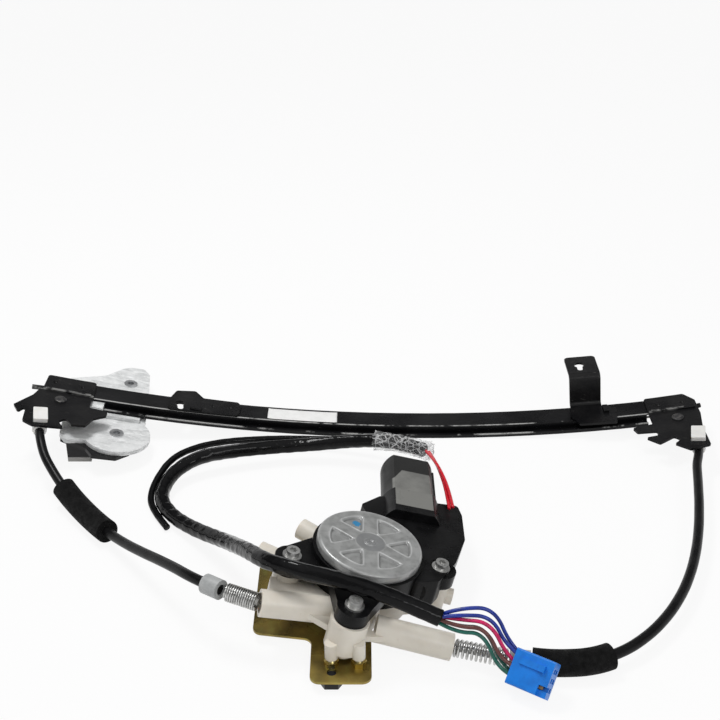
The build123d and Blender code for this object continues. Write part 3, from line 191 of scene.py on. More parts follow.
RAIL_RADIUS, RAIL_X, RAIL_TOP = 1.3835, 0.0496, 0.007
FLANGE_EDGE, LIP_EDGE, LIP_DROP, SCRAPE_AND_HIGHLIGHT_HALF = 0.1099, 0.1028, 0.004, 0.0005
rail_paint = finish("rail_black_paint", (0.0035, 0.0035, 0.0042), (0.0075, 0.0075, 0.0085), 0.03,
                    (0.22, 0.40), bump=0.35, depth=0.00006, gloss=0.18)
overlay(rail_paint, (0.14, 0.13, 0.13), streaks(rail_paint, 0.004, (0.12, 1.0, 1.0), 0.66, 0.72), 0.35)
place = place_of(rail_paint)
from_middle = reach_from(rail_paint, place, (1, 0, 1), (RAIL_X, 0, RAIL_TOP + RAIL_RADIUS))
across = parts_of(rail_paint, place)["Y"]
# Pale lines along the flange's edge and the lip's edge are partly worn paint and partly a painted highlight
# where the bends catch the light.
for edge, below, cut in ((FLANGE_EDGE, 0.0, 0.44), (LIP_EDGE, LIP_DROP, 0.48)):
    scrape_and_highlight = streaks(rail_paint, 0.012, (0.22, 0.2, 0.2), cut, cut + 0.06)
    for value, middle in ((across, edge), (from_middle, RAIL_RADIUS + below)):
        scrape_and_highlight = both(rail_paint, scrape_and_highlight, line_at(rail_paint, value, middle, SCRAPE_AND_HIGHLIGHT_HALF, SCRAPE_AND_HIGHLIGHT_HALF))
    overlay(rail_paint, (0.50, 0.50, 0.49), scrape_and_highlight, 0.8)
dress(rail_paint, "guide_rail")


# ---------------------------------------------------------------- label
# A bare white paper sticker glued to the flange, slightly lifted at its
# corners.

def skin(name, grid, round_it=False):
    """A mesh over a grid of points, rows by columns; a round one joins its last column to its
    first and closes each end by a fan. Its UV map is the distance along and the share round."""
    rows, columns = grid.shape[:2]
    number = np.arange(rows * columns).reshape(rows, columns)
    step = np.linalg.norm(np.diff(grid.mean(axis=1), axis=0), axis=1)
    run = np.concatenate([[0.0], np.cumsum(step)])
    share = np.arange(columns + 1) / columns
    if round_it:
        number = np.concatenate([number, number[:, :1]], axis=1)
    quads = np.stack([number[:-1, :-1], number[1:, :-1], number[1:, 1:], number[:-1, 1:]], axis=-1)
    u = np.stack([run[:-1], run[1:], run[1:], run[:-1]], axis=-1)[:, None, :]
    width = quads.shape[1]
    v = np.stack([share[:width], share[:width], share[1:width + 1], share[1:width + 1]], axis=-1)[None]
    uv = np.stack(np.broadcast_arrays(u, v), axis=-1).reshape(-1, 2)
    points, faces = grid.reshape(-1, 3), quads.reshape(-1, 4).tolist()
    if round_it:
        first, last = len(points), len(points) + 1
        points = np.concatenate([points, grid[:1].mean(axis=1), grid[-1:].mean(axis=1)])
        low, high = number[0], number[-1]
        fans = [np.stack([low[:-1], low[1:], np.full(width, first)], axis=-1),
                np.stack([high[1:], high[:-1], np.full(width, last)], axis=-1)]
        faces += np.concatenate(fans).tolist()
        ends = [np.stack([np.full(3 * width, run[0]), np.tile([0, 0, 0.5], width)], axis=-1),
                np.stack([np.full(3 * width, run[-1]), np.tile([0, 0, 0.5], width)], axis=-1)]
        uv = np.concatenate([uv, *ends])
    mesh = bpy.data.meshes.new(name)
    mesh.from_pydata(points.tolist(), [], faces)
    mesh.uv_layers.new(name="UVMap").data.foreach_set("uv", uv.ravel())
    mesh.polygons.foreach_set("use_smooth", np.ones(len(faces), bool))
    piece = bpy.data.objects.new(name, mesh)
    bpy.context.collection.objects.link(piece)
    return piece


LABEL_X, LABEL_Y = (-0.0770, -0.0215), (0.1118, 0.1275)
LABEL_PAPER, LABEL_GAP, LABEL_CURL, LABEL_WAVE = 0.00012, 0.00016, 0.00025, 0.00002


def flange_top(x):
    """Height of the flange's top: the lowest point of a circle, seen from its middle above."""
    return RAIL_TOP + RAIL_RADIUS - np.sqrt(RAIL_RADIUS ** 2 - (x - RAIL_X) ** 2)


def way_out(value, ends):
    """How far a value lies from the middle between two ends, as a share of the way to them."""
    return np.abs(value - np.mean(ends)) / (np.ptp(ends) / 2)


x, y = np.meshgrid(np.linspace(*LABEL_X, 40), np.linspace(*LABEL_Y, 14), indexing="ij")
corner = way_out(x, LABEL_X) ** 12 * way_out(y, LABEL_Y) ** 6
z = flange_top(x) + LABEL_GAP + LABEL_CURL * corner + LABEL_WAVE * np.sin(x * 420) * np.sin(y * 900)
label = skin("label", np.stack([x, y, z], axis=-1))
paper = label.modifiers.new("paper", "SOLIDIFY")
paper.thickness = LABEL_PAPER
paper.offset = 0.0
label.data.materials.append(finish("label_paper", (0.88, 0.88, 0.87), (0.83, 0.83, 0.82), 0.006, (0.45, 0.6),
                                   bump=0.2, depth=0.00002))
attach(label, "base")


# ---------------------------------------------------------------- brackets on the rail
# Pressed steel plates clinched to the flange, painted with the rail but
# handled more: their edges and upper faces carry more grey scuffs. The pale
# line along their bend is partly worn paint and partly a painted highlight.
bracket_paint = finish("bracket_black_paint", (0.0045, 0.0045, 0.0052), (0.0105, 0.0102, 0.0105), 0.02,
                       (0.24, 0.42), bump=0.45, depth=0.00008, gloss=0.15)
overlay(bracket_paint, (0.16, 0.15, 0.145), streaks(bracket_paint, 0.003, (0.3, 1.0, 1.0), 0.64, 0.72), 0.4)
BEND_Y = 0.1095
across = parts_of(bracket_paint, place_of(bracket_paint))["Y"]
# A pale line along the bend: partly worn paint, partly a painted highlight.
worn_and_highlit = both(bracket_paint, band(bracket_paint, across, BEND_Y - 0.0022, BEND_Y - 0.0010),
            band(bracket_paint, across, BEND_Y + 0.0018, BEND_Y + 0.0008))
worn_and_highlit = both(bracket_paint, worn_and_highlit, streaks(bracket_paint, 0.006, (0.3, 0.3, 0.3), 0.46, 0.54))
overlay(bracket_paint, (0.34, 0.34, 0.33), worn_and_highlit, 0.55)
dress(bracket_paint, "pulley_bracket_left", "pulley_bracket_right")
plate_paint = finish("plate_black_paint", (0.0045, 0.0045, 0.0052), (0.0105, 0.0102, 0.0105), 0.02,
                     (0.20, 0.36), bump=0.45, depth=0.00008, gloss=0.17)
overlay(plate_paint, (0.16, 0.15, 0.145), streaks(plate_paint, 0.003, (0.3, 1.0, 1.0), 0.62, 0.70), 0.4)
dress(plate_paint, "rail_mount_plate", "standoff_bracket")


# ---------------------------------------------------------------- pulleys, rivets and conduit blocks
# Moulded nylon sheaves turn on shouldered steel rivets. The blocks that hold
# the conduits' ends are moulded in the same white nylon.

def let_light_in(made, weight, depth):
    """Lets light into a plastic, to these depths in metres for red, green and blue."""
    shader = made.node_tree.nodes["Principled BSDF"]
    shader.inputs["Subsurface Weight"].default_value = weight
    shader.inputs["Subsurface Radius"].default_value = depth
    shader.inputs["Subsurface Scale"].default_value = 1.0


nylon = finish("white_nylon_moulding", (0.86, 0.85, 0.83), (0.79, 0.78, 0.75), 0.012, (0.35, 0.5),
               bump=0.15, depth=0.00006)
let_light_in(nylon, 0.15, (0.002, 0.0018, 0.0015))
dress(nylon, "cable_pulley_left", "cable_pulley_right", "conduit_block_left", "conduit_block_right",
      "worm_wheel")
rivet_steel = finish("rivet_dark_steel", (0.055, 0.055, 0.058), (0.16, 0.155, 0.15), 0.003, (0.3, 0.5),
                     metal=0.9)
dress(rivet_steel, "pulley_rivet_left", "pulley_rivet_right", "armature_core", "drive_hub")


# ---------------------------------------------------------------- cables
# Galvanised wire rope of 1.5 mm: seven strands laid up, greased grey.
rope = finish("galvanised_rope", (0.42, 0.41, 0.39), (0.26, 0.25, 0.24), 0.002, (0.3, 0.5), metal=1.0)
overlay(rope, (0.10, 0.10, 0.10), streaks(rope, 0.0006, (0.35, 1.0, 1.0), 0.45, 0.55), 0.6)
dress(rope, "rail_cable", "drum_cable_wraps", "drum_cable_tails")


# ---------------------------------------------------------------- glass carrier, inserts, nipples and clamp
# The carrier is moulded in unfilled nylon, so light passes into it and its
# flow marks show. Two zinc-plated steel inserts take the glass's bolts, and a
# dark steel plate with a bare sheared foot clamps it from below.
carrier_nylon = finish("clear_nylon", (0.80, 0.81, 0.81), (0.62, 0.63, 0.63), 0.010, (0.20, 0.36),
                       bump=0.6, depth=0.0002, spread=(0.35, 0.75))
let_light_in(carrier_nylon, 0.35, (0.004, 0.004, 0.004))
flow = streaks(carrier_nylon, 0.007, (0.30, 1.3, 1.0), 0.50, 0.60, turned=0.35)
overlay(carrier_nylon, (0.42, 0.43, 0.43), flow, 0.45)
overlay(carrier_nylon, (0.94, 0.95, 0.95), streaks(carrier_nylon, 0.005, (0.5, 1.6, 1.0), 0.54, 0.62), 0.7)
dress(carrier_nylon, "glass_carrier")
zinc = finish("zinc_plate", (0.62, 0.63, 0.64), (0.44, 0.45, 0.46), 0.006, (0.25, 0.42), metal=0.85)
dress(zinc, "glass_bolt_inserts", "cable_nipples", "plate_studs", "axle_pin")
clamp_steel = finish("clamp_blackened_steel", (0.0045, 0.0045, 0.005), (0.011, 0.011, 0.011), 0.01,
                     (0.25, 0.45), bump=0.3, gloss=0.3)
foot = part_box("glass_clamp")[0].z
height = parts_of(clamp_steel, place_of(clamp_steel))["Z"]
overlay(clamp_steel, (0.55, 0.54, 0.52), band(clamp_steel, height, foot + 0.0042, foot + 0.0034), 0.9)
dress(clamp_steel, "glass_clamp")


# ---------------------------------------------------------------- gears, drum and armature inside the unit
# Nylon worm wheel with a rubber cushion between it and the steel hub, a grey
# acetal drum, and a small permanent-magnet motor: laminated core, enamelled
# windings, brass-copper commutator, carbon brushes and ferrite magnets.
dress(finish("damper_rubber", (0.015, 0.015, 0.015), (0.028, 0.027, 0.026), 0.008, (0.55, 0.75), bump=0.3),
      "rubber_damper")
acetal = finish("grey_acetal", (0.36, 0.37, 0.38), (0.30, 0.31, 0.31), 0.01, (0.35, 0.5))
dress(acetal, "cable_drum")
bright = finish("bright_steel", (0.55, 0.55, 0.54), (0.36, 0.36, 0.35), 0.003, (0.18, 0.35), metal=1.0)
dress(bright, "armature_shaft", "conduit_spring_left", "conduit_spring_right")
copper = finish("enamelled_copper", (0.55, 0.22, 0.09), (0.35, 0.11, 0.04), 0.0015, (0.25, 0.4), metal=1.0)
dress(copper, "armature_windings", "commutator")
dress(finish("sintered_bronze", (0.45, 0.30, 0.14), (0.30, 0.20, 0.10), 0.002, (0.4, 0.6), metal=1.0,
             bump=0.4), "shaft_bearings", "connector_terminals")
dress(finish("ferrite_and_carbon", (0.030, 0.030, 0.032), (0.055, 0.054, 0.052), 0.004, (0.5, 0.7), bump=0.3),
      "motor_magnets", "carbon_brushes")


# ---------------------------------------------------------------- motor can and its card
# Drawn steel can with two flats, zinc-plated: the flats are dull grey, and its
# round sides and far end are coloured near black. A black card strip lies along one side.
UNIT_AT = (0.0014, -0.1078, 0.0423)
UNIT_LEAN = radians(13.5)
WORM_X = 0.03115
CAN_END, CAN_CHAMFER, CAN_FLAT = 0.0965, 0.011, 0.0056


def unit_place(made):
    """The unit's own coordinates for a finish: moved to its centre, then turned upright."""
    tree = made.node_tree
    turn = tree.nodes.new("ShaderNodeMapping")
    turn.vector_type = "TEXTURE"
    turn.inputs["Location"].default_value = UNIT_AT
    turn.inputs["Rotation"].default_value = (0, UNIT_LEAN, 0)
    tree.links.new(place_of(made), turn.inputs["Vector"])
    return turn.outputs["Vector"]


can_zinc = finish("can_zinc_plate", (0.250, 0.250, 0.235), (0.185, 0.185, 0.175), 0.012, (0.42, 0.58),
                  metal=0.45, bump=0.4, depth=0.00006)
p, q, h = parts_of(can_zinc, unit_place(can_zinc))
off_centre = band(can_zinc, p, WORM_X - 0.0070, WORM_X - 0.0126)
slant = calc(can_zinc.node_tree, "MULTIPLY_ADD", off_centre, CAN_CHAMFER, q)
overlay(can_zinc, (0.006, 0.006, 0.006), band(can_zinc, slant, CAN_END, CAN_END + 0.0008), 0.97)
overlay(can_zinc, (0.008, 0.008, 0.008), band(can_zinc, h, CAN_FLAT, CAN_FLAT - 0.0008), 0.95)
dress(can_zinc, "motor_can")
dress(finish("card_black", (0.005, 0.005, 0.005), (0.010, 0.010, 0.010), 0.004, (0.35, 0.5), bump=0.4,
             gloss=0.3), "insulating_card")


# ---------------------------------------------------------------- gearbox housing, cover and screws
# Black glass-filled nylon gearbox, its neck painted grey, under a pressed and
# zinc-plated steel lid with six pockets, a riveted pin and a dab of inspection
# paint. Three screws with flanged heads and six-lobed sockets hold it.
NECK_HALF, NECK_Q, NECK_H, NECK_SOFT = 0.0128, 0.0506, 0.0058, 0.0004
gearbox_nylon = finish("gearbox_black_nylon", (0.0035, 0.0035, 0.0038), (0.0075, 0.0075, 0.008), 0.01,
                       (0.24, 0.38), bump=0.35, depth=0.00008, gloss=0.14)
p, q, h = parts_of(gearbox_nylon, unit_place(gearbox_nylon))
neck = both(gearbox_nylon, band(gearbox_nylon, q, NECK_Q, NECK_Q + NECK_SOFT),
            band(gearbox_nylon, h, NECK_H, NECK_H + NECK_SOFT))
neck = both(gearbox_nylon, neck, line_at(gearbox_nylon, p, WORM_X, NECK_HALF, NECK_SOFT))
overlay(gearbox_nylon, (0.200, 0.200, 0.188), neck)
dress(gearbox_nylon, "gearbox_housing")

LID_R, LID_TOP, LID_SIDE, LID_SHEET, LID_BEND = 0.0339, 0.010, 0.006, 0.0012, 0.0022
POCKET_TIP, POCKET_FAR, POCKET_DEEP, POCKET_WALL = 0.0103, 0.0262, 0.0012, 0.0010
POCKET_LEAN, POCKET_ROUND = radians(31.0), 0.0009
SWELL, SWELL_AT, SWELL_WIDE = 0.00030, 0.0004, 0.0005
COIN_R, COIN_DEEP, COIN_SOFT = 0.0096, 0.00020, 0.0005
PIN_R, PIN_HIGH, PIN_SOFT = 0.0036, 0.00075, 0.0007
HOLLOW_R, HOLLOW_DEEP, HOLLOW_SOFT = 0.0010, 0.0006, 0.0009
DAB_AT, DAB_R, DAB_RAGGED = (-0.0088, 0.0185, 0), 0.0042, 0.004
IN_PLAN = (1, 1, 0)
cover_zinc = finish("cover_zinc_plate", (0.40, 0.405, 0.40), (0.30, 0.305, 0.30), 0.006, (0.28, 0.44),
                    metal=0.40, bump=0.4, depth=0.00005)
tree = cover_zinc.node_tree
vector = unit_place(cover_zinc)
coin = band(cover_zinc, reach_from(cover_zinc, vector, IN_PLAN, (0, 0, 0)), COIN_R + 0.0002,
            COIN_R - 0.0008)
overlay(cover_zinc, (0.25, 0.255, 0.26), coin, 0.8)
overlay(cover_zinc, (0.20, 0.20, 0.20), streaks(cover_zinc, 0.003, (1.0, 1.0, 1.0), 0.60, 0.70), 0.5)
ragged = calc(tree, "MULTIPLY", cloud(tree, vector, 1 / 600, 5.0), DAB_RAGGED)
dab = calc(tree, "ADD", reach_from(cover_zinc, vector, IN_PLAN, DAB_AT), ragged)
overlay(cover_zinc, (0.02, 0.30, 0.62), band(cover_zinc, dab, DAB_R + 0.0007, DAB_R), 0.9)


def smooth(value, low, high):
    """Eases from 0 at low to 1 at high: 3 t squared less 2 t cubed, for t the share of the way."""
    share = np.clip((value - low) / (high - low), 0, 1)
    return share * share * (3 - 2 * share)


def disc(reach, radius, soft):
    """1 inside a radius, easing to 0 over a soft edge outside it."""
    return smooth(radius + soft - reach, 0, soft)


def pocket_edge(reach, angle):
    """Distance to a pocket's outline, less than nothing inside it: a pocket is the inside of two
    flanks that meet at a point and of an outer arc, and the distance is a smooth greatest of the
    three, a small length times the logarithm of the sum of their exponentials."""
    turned = (angle + pi / 6) % (pi / 3) - pi / 6
    out, across = reach * np.cos(turned), reach * np.sin(turned)
    flank = (out - POCKET_TIP) * sin(POCKET_LEAN)
    sides = [reach - POCKET_FAR, across * cos(POCKET_LEAN) - flank, -across * cos(POCKET_LEAN) - flank]
    return POCKET_ROUND * np.log(sum(np.exp(side / POCKET_ROUND) for side in sides))


def pressed(reach, angle):
    """Height of the lid's upper side over its flat: the sheet eases down over the pocket's wall
    and swells a little round it. At the middle, a coined disc lies lower, and the pin's head
    stands on it as a ring."""
    away = pocket_edge(reach, angle)
    height = -POCKET_DEEP * smooth(-away, 0.0, POCKET_WALL)
    height += SWELL * np.exp(-((away - SWELL_AT) / SWELL_WIDE) ** 2)
    height -= COIN_DEEP * disc(reach, COIN_R, COIN_SOFT)
    height += PIN_HIGH * disc(reach, PIN_R, PIN_SOFT) - HOLLOW_DEEP * disc(reach, HOLLOW_R, HOLLOW_SOFT)
    return height


LID_SPOKES = 400
angle = np.linspace(0, 2 * pi, LID_SPOKES, endpoint=False)[None, :]
upper = np.concatenate([np.linspace(0.0003, 0.0106, 42), np.linspace(0.0109, 0.0270, 74),
                        np.linspace(0.0274, LID_R - LID_BEND, 8)])
bend = np.linspace(0, pi / 2, 10)[1:]
skirt = np.linspace(LID_TOP - LID_BEND - 0.0006, LID_TOP - LID_SIDE + 0.0003, 4)
hem_in = np.array([0.0002, LID_SHEET - 0.0002, LID_SHEET, LID_SHEET])
hem_down = np.array([LID_SIDE, LID_SIDE, LID_SIDE - 0.0003, LID_SHEET + 0.0010])
lower = np.concatenate([[LID_R - LID_SHEET - 0.0010], np.linspace(0.0270, 0.0003, 60)])
profile = [(upper, LID_TOP),
           (LID_R - LID_BEND + LID_BEND * np.sin(bend), LID_TOP - LID_BEND + LID_BEND * np.cos(bend)),
           (LID_R, skirt), (LID_R - hem_in, LID_TOP - hem_down), (lower, LID_TOP - LID_SHEET)]
profile = [np.broadcast_arrays(*part) for part in profile]
reach, height = (np.concatenate(column)[:, None] + 0 * angle for column in zip(*profile))
height[:len(upper)] += pressed(upper[:, None], angle)
height[-len(lower):] += np.minimum(pressed(lower[:, None], angle), 0)
plan = np.stack([reach * np.cos(angle), reach * np.sin(angle), height], axis=-1)
turn = np.array([[cos(UNIT_LEAN), 0, sin(UNIT_LEAN)], [0, 1, 0], [-sin(UNIT_LEAN), 0, cos(UNIT_LEAN)]])
lid = skin("pressed_lid", plan @ turn.T + np.array(UNIT_AT), True)
# Painted light on the lid: a pale line along each pocket's rim is a painted highlight, and a dark line at the
# foot of each pocket's wall is painted shade.
away = pocket_edge(reach, angle)
for painted_light_mark, middle, spread, colour in (("painted_highlight_rim", 0.0003, 0.00035, (0.72, 0.73, 0.73)),
                                     ("foot", -0.0010, 0.0004, (0.11, 0.11, 0.11))):
    share = np.concatenate([np.exp(-((away - middle) / spread) ** 2).ravel(), [0, 0]])
    lid.data.attributes.new(painted_light_mark, "FLOAT", "POINT").data.foreach_set("value", share)
    level = tree.nodes.new("ShaderNodeAttribute")
    level.attribute_name = painted_light_mark
    overlay(cover_zinc, colour, level.outputs["Fac"], 0.55)
lid.data.materials.append(cover_zinc)
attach(lid, "base")
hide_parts("gear_cover")
screw_zinc = finish("screw_zinc", (0.58, 0.58, 0.57), (0.46, 0.46, 0.45), 0.008, (0.28, 0.4), metal=0.85,
                    bump=0.1)
dress(screw_zinc, "cover_screws")


# ---------------------------------------------------------------- drum housing
# The unit's lower half, moulded in ivory-white glass-filled nylon: the drum's
# cup, two arms that guide the cables, gussets between them and three stubs.
housing_nylon = finish("ivory_nylon", (0.79, 0.745, 0.66), (0.71, 0.66, 0.575), 0.02, (0.30, 0.46), bump=0.3,
                       depth=0.00008)
let_light_in(housing_nylon, 0.1, (0.002, 0.0016, 0.0012))
overlay(housing_nylon, (0.46, 0.41, 0.33), streaks(housing_nylon, 0.006, (1.0, 1.0, 1.0), 0.62, 0.76), 0.35)
dress(housing_nylon, "drum_housing")


# ---------------------------------------------------------------- foot plate, studs, nuts and spacers
# A plate of 1.6 mm steel, passivated yellow so that it shines brown, gold and
# a little green. It stands on black spacers, and brass-yellow nuts hold it.
passivate = finish("yellow_passivate", (0.36, 0.27, 0.075), (0.17, 0.13, 0.045), 0.02, (0.22, 0.36),
                   metal=0.9, bump=0.2)
overlay(passivate, (0.36, 0.36, 0.10), streaks(passivate, 0.016, (1.0, 0.5, 1.0), 0.50, 0.62), 0.5)
dress(passivate, "foot_plate")
dress(finish("nut_yellow_zinc", (0.88, 0.74, 0.32), (0.72, 0.56, 0.20), 0.003, (0.12, 0.28), metal=1.0),
      "stud_nuts")
dress(finish("spacer_black", (0.004, 0.004, 0.0045), (0.009, 0.009, 0.009), 0.005, (0.3, 0.5), gloss=0.3),
      "plate_spacers")


# ---------------------------------------------------------------- conduits, sleeves and ferrules
# Black PVC over a steel coil and a liner. A foam sleeve quiets each one, and a
# grey moulded ferrule closes each end at the unit.
dress(finish("conduit_pvc", (0.0032, 0.0032, 0.0036), (0.007, 0.007, 0.0075), 0.01, (0.26, 0.4), bump=0.3,
             depth=0.00005, gloss=0.16), "conduit_left", "conduit_right")
dress(finish("sleeve_foam", (0.0035, 0.0035, 0.0035), (0.008, 0.008, 0.008), 0.003, (0.6, 0.85), bump=0.9,
             depth=0.0003, gloss=0.12), "conduit_sleeve_left", "conduit_sleeve_right")
dress(finish("ferrule_grey", (0.43, 0.44, 0.44), (0.35, 0.36, 0.36), 0.006, (0.35, 0.5), bump=0.3),
      "conduit_ferrule_left", "conduit_ferrule_right")


# ---------------------------------------------------------------- springs
# Coil springs press the conduits' ends away from the unit, so that the cables
# stay tight. The left one is nearly closed, the right one is open.

def square_to(path, reference):
    """The distance along a path, and two directions square to it: the path's own direction
    crossed with the reference, and that one crossed with the path's direction."""
    ahead = np.gradient(path, axis=0)
    ahead /= np.linalg.norm(ahead, axis=1, keepdims=True)
    side = np.cross(ahead, reference)
    side /= np.linalg.norm(side, axis=1, keepdims=True)
    step = np.linalg.norm(np.diff(path, axis=0), axis=1)
    return np.concatenate([[0.0], np.cumsum(step)])[:, None], side, np.cross(side, ahead)


def rings(path, reference, radius, spokes):
    """Rings that stand square to a path. The radius is a function of the distance along and of
    the angle, which starts at the path's direction crossed with the reference."""
    run, side, up = square_to(path, reference)
    angle = np.linspace(0, 2 * pi, spokes, endpoint=False)[None, :]
    reach = np.broadcast_to(radius(run, angle), (len(path), spokes))[..., None]
    spoke = np.cos(angle)[..., None] * side[:, None] + np.sin(angle)[..., None] * up[:, None]
    return path[:, None] + reach * spoke


def coil(start, end, radius, wire, turns):
    """Points of a helix from start to end: the turn's angle grows evenly, and the distance along
    the axis grows by the wire's own width in the first and last turns and evenly between."""
    axis = end - start
    length = np.linalg.norm(axis)
    axis = axis / length
    side = np.cross(axis, (0, 0, 1))
    side /= np.linalg.norm(side)
    up = np.cross(side, axis)
    turn = np.linspace(0, turns, turns * 28 + 1)
    half, closed = wire / 2, min(wire * 1.03, length / turns)
    along = np.interp(turn, [0, 1, turns - 1, turns],
                      [half, half + closed, length - half - closed, length - half])
    angle = (2 * pi * turn)[:, None]
    return start + along[:, None] * axis + radius * (np.cos(angle) * side + np.sin(angle) * up), axis


SPRINGS = {
    "left": ((-0.08482, -0.14162, 0.03947), (-0.06464, -0.14848, 0.03686), 0.0013, 14),
    "right": ((0.08596, -0.16659, 0.00899), (0.05394, -0.15670, 0.00874), 0.0016, 12),
}
SPRING_OUTSIDE, LINER_R = 0.0058, 0.0021
liner = finish("liner_polymer", (0.60, 0.60, 0.58), (0.52, 0.52, 0.50), 0.004, (0.3, 0.45))
for side, (start, end, wire, turns) in SPRINGS.items():
    start, end = np.array(start), np.array(end)
    path, axis = coil(start, end, SPRING_OUTSIDE - wire / 2, wire, turns)
    spring = skin(f"coil_spring_{side}", rings(path, axis, lambda run, angle: wire / 2, 12), True)
    spring.data.materials.append(bright)
    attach(spring, "base")
    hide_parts(f"conduit_spring_{side}")
    straight = np.linspace(0, 1, 12)[:, None] * (end - start) + start
    core = skin(f"spring_liner_{side}", rings(straight, (0, 0, 1), lambda run, angle: LINER_R, 24), True)
    core.data.materials.append(liner)
    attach(core, "base")


# ---------------------------------------------------------------- harness, its branch and the motor's leads
# Six wires under glossy vinyl tape, half-lapped, so that the bundle's lumps and
# the tape's edges show. The thin branch runs along it, and two red leads come
# from the brushes.
HARNESS = [
    (0.045, 0.043, 0.026), (0.024, 0.057, 0.025), (-0.008, 0.0675, 0.0195), (-0.042, 0.071, 0.0135),
    (-0.073, 0.067, 0.0132), (-0.1, 0.06, 0.0145), (-0.125, 0.052, 0.0148), (-0.144, 0.036, 0.01),
    (-0.1495, 0.011, 0.006), (-0.1385, -0.0125, 0.0058), (-0.117, -0.036, 0.01), (-0.09, -0.07, 0.024),
    (-0.073, -0.108, 0.045), (-0.061, -0.134, 0.057), (-0.04, -0.147, 0.06), (-0.016, -0.15, 0.0555),
    (0.016, -0.1565, 0.0475), (0.045, -0.162, 0.036),
]
BRANCH = [
    (0.0426, 0.0587, 0.016), (0.026, 0.069, 0.014), (0.005, 0.0765, 0.0125), (-0.017, 0.0825, 0.011),
    (-0.04, 0.086, 0.0095), (-0.063, 0.0872, 0.0091), (-0.086, 0.0855, 0.0094), (-0.108, 0.079, 0.0115),
    (-0.128, 0.0675, 0.0138), (-0.145, 0.0515, 0.0139), (-0.1545, 0.032, 0.008), (-0.157, 0.011, 0.0042),
    (-0.15, -0.007, 0.0032), (-0.1395, -0.0235, 0.0032),
]
LEADS = [(0.059, -0.044, 0.034), (0.058, -0.021, 0.033), (0.055, -0.002, 0.034), (0.051, 0.018, 0.033),
         (0.047, 0.036, 0.029)]


def spline(name, points):
    """A smooth open curve with these control points."""
    curve = bpy.data.curves.new(name, "CURVE")
    curve.dimensions = "3D"
    curve.resolution_u = 16
    line = curve.splines.new("NURBS")
    line.points.add(len(points) - 1)
    line.points.foreach_set("co", np.column_stack([points, np.ones(len(points))]).ravel())
    line.order_u = 3
    line.use_endpoint_u = True
    piece = bpy.data.objects.new(name, curve)
    bpy.context.collection.objects.link(piece)
    return piece


def line_of(points, step):
    """Points of the route's own spline, spaced evenly by their distance along it."""
    guide = spline("route", points)
    bpy.context.view_layer.update()
    mesh = bpy.data.meshes.new_from_object(guide.evaluated_get(bpy.context.evaluated_depsgraph_get()))
    raw = np.empty(3 * len(mesh.vertices))
    mesh.vertices.foreach_get("co", raw)
    raw = raw.reshape(-1, 3)
    bpy.data.objects.remove(guide)
    bpy.data.meshes.remove(mesh)
    run = np.concatenate([[0.0], np.cumsum(np.linalg.norm(np.diff(raw, axis=0), axis=1))])
    spaced = np.linspace(0, run[-1], int(run[-1] / step) + 1)
    return np.column_stack([np.interp(spaced, run, raw[:, i]) for i in range(3)])


TAPE_PITCH, TAPE_LAP, CREASE, FIRM = 0.011, 0.026, 0.015, 0.975


def taped(base, lump, seed):
    """Radius of a taped bundle: a base, lumps of the wires that wind slowly inside it, a step at
    each turn of the tape that falls off to the next one, and creases that run askew."""
    waves = np.random.default_rng(seed).uniform(0, 2 * pi, (7, 2))

    def radius(run, angle):
        turn = run / TAPE_PITCH - angle / (2 * pi)
        step = 1 - (turn % 1.0)
        wires = np.cos(5 * angle + run * 55 + waves[0, 0])
        wires = wires + 0.6 * np.cos(3 * angle - run * 80 + waves[1, 0])
        creases = sum(np.abs(np.sin(run * (75 + 55 * i) + (i % 3 - 1) * angle + waves[i, 1])) ** 4
                      for i in range(2, 6))
        return base * (FIRM + lump * wires + TAPE_LAP * step ** 3 + CREASE * (creases - 1))
    return radius


tape = finish("vinyl_tape", (0.0028, 0.0028, 0.0032), (0.006, 0.006, 0.0065), 0.030, (0.05, 0.14),
              bump=0.45, depth=0.00022, gloss=0.14)
cords = {}
for name, route, width, length, lump in (("harness", HARNESS, 0.0105, 0.522, 0.034),
                                         ("harness_branch", BRANCH, 0.005, 0.285, 0.018)):
    path = line_of(route, 0.0010)
    outside = taped(width / 2, lump, len(path))
    piece = skin(f"taped_{name}", rings(path, (0, 0, 1), outside, 40), True)
    piece.data.materials.append(tape)
    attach(piece, "base")
    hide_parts(name)
    cords[name] = piece, path, width, length

LEAD_R, LEAD_APART, LEAD_TURN, LEAD_TWIST = 0.0012, 0.00125, 0.4, 28
lead_red = finish("lead_red_pvc", (0.66, 0.004, 0.020), (0.54, 0.003, 0.014), 0.006, (0.22, 0.34), bump=0.15)
path = line_of(LEADS, 0.0010)
run, side, up = square_to(path, (0, 0, 1))
twist = LEAD_TURN + run * LEAD_TWIST
offset = LEAD_APART * (np.cos(twist) * side + np.sin(twist) * up)
strands = [rings(path + sign * offset, (0, 0, 1), lambda run, angle: LEAD_R, 16) for sign in (-1, 1)]
leads = skin("red_leads", strands[0], True)
second = skin("red_lead_second", strands[1], True)
leads.data.materials.append(lead_red)
second.data.materials.append(lead_red)
for piece in (leads, second):
    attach(piece, "base")
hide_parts("motor_leads")


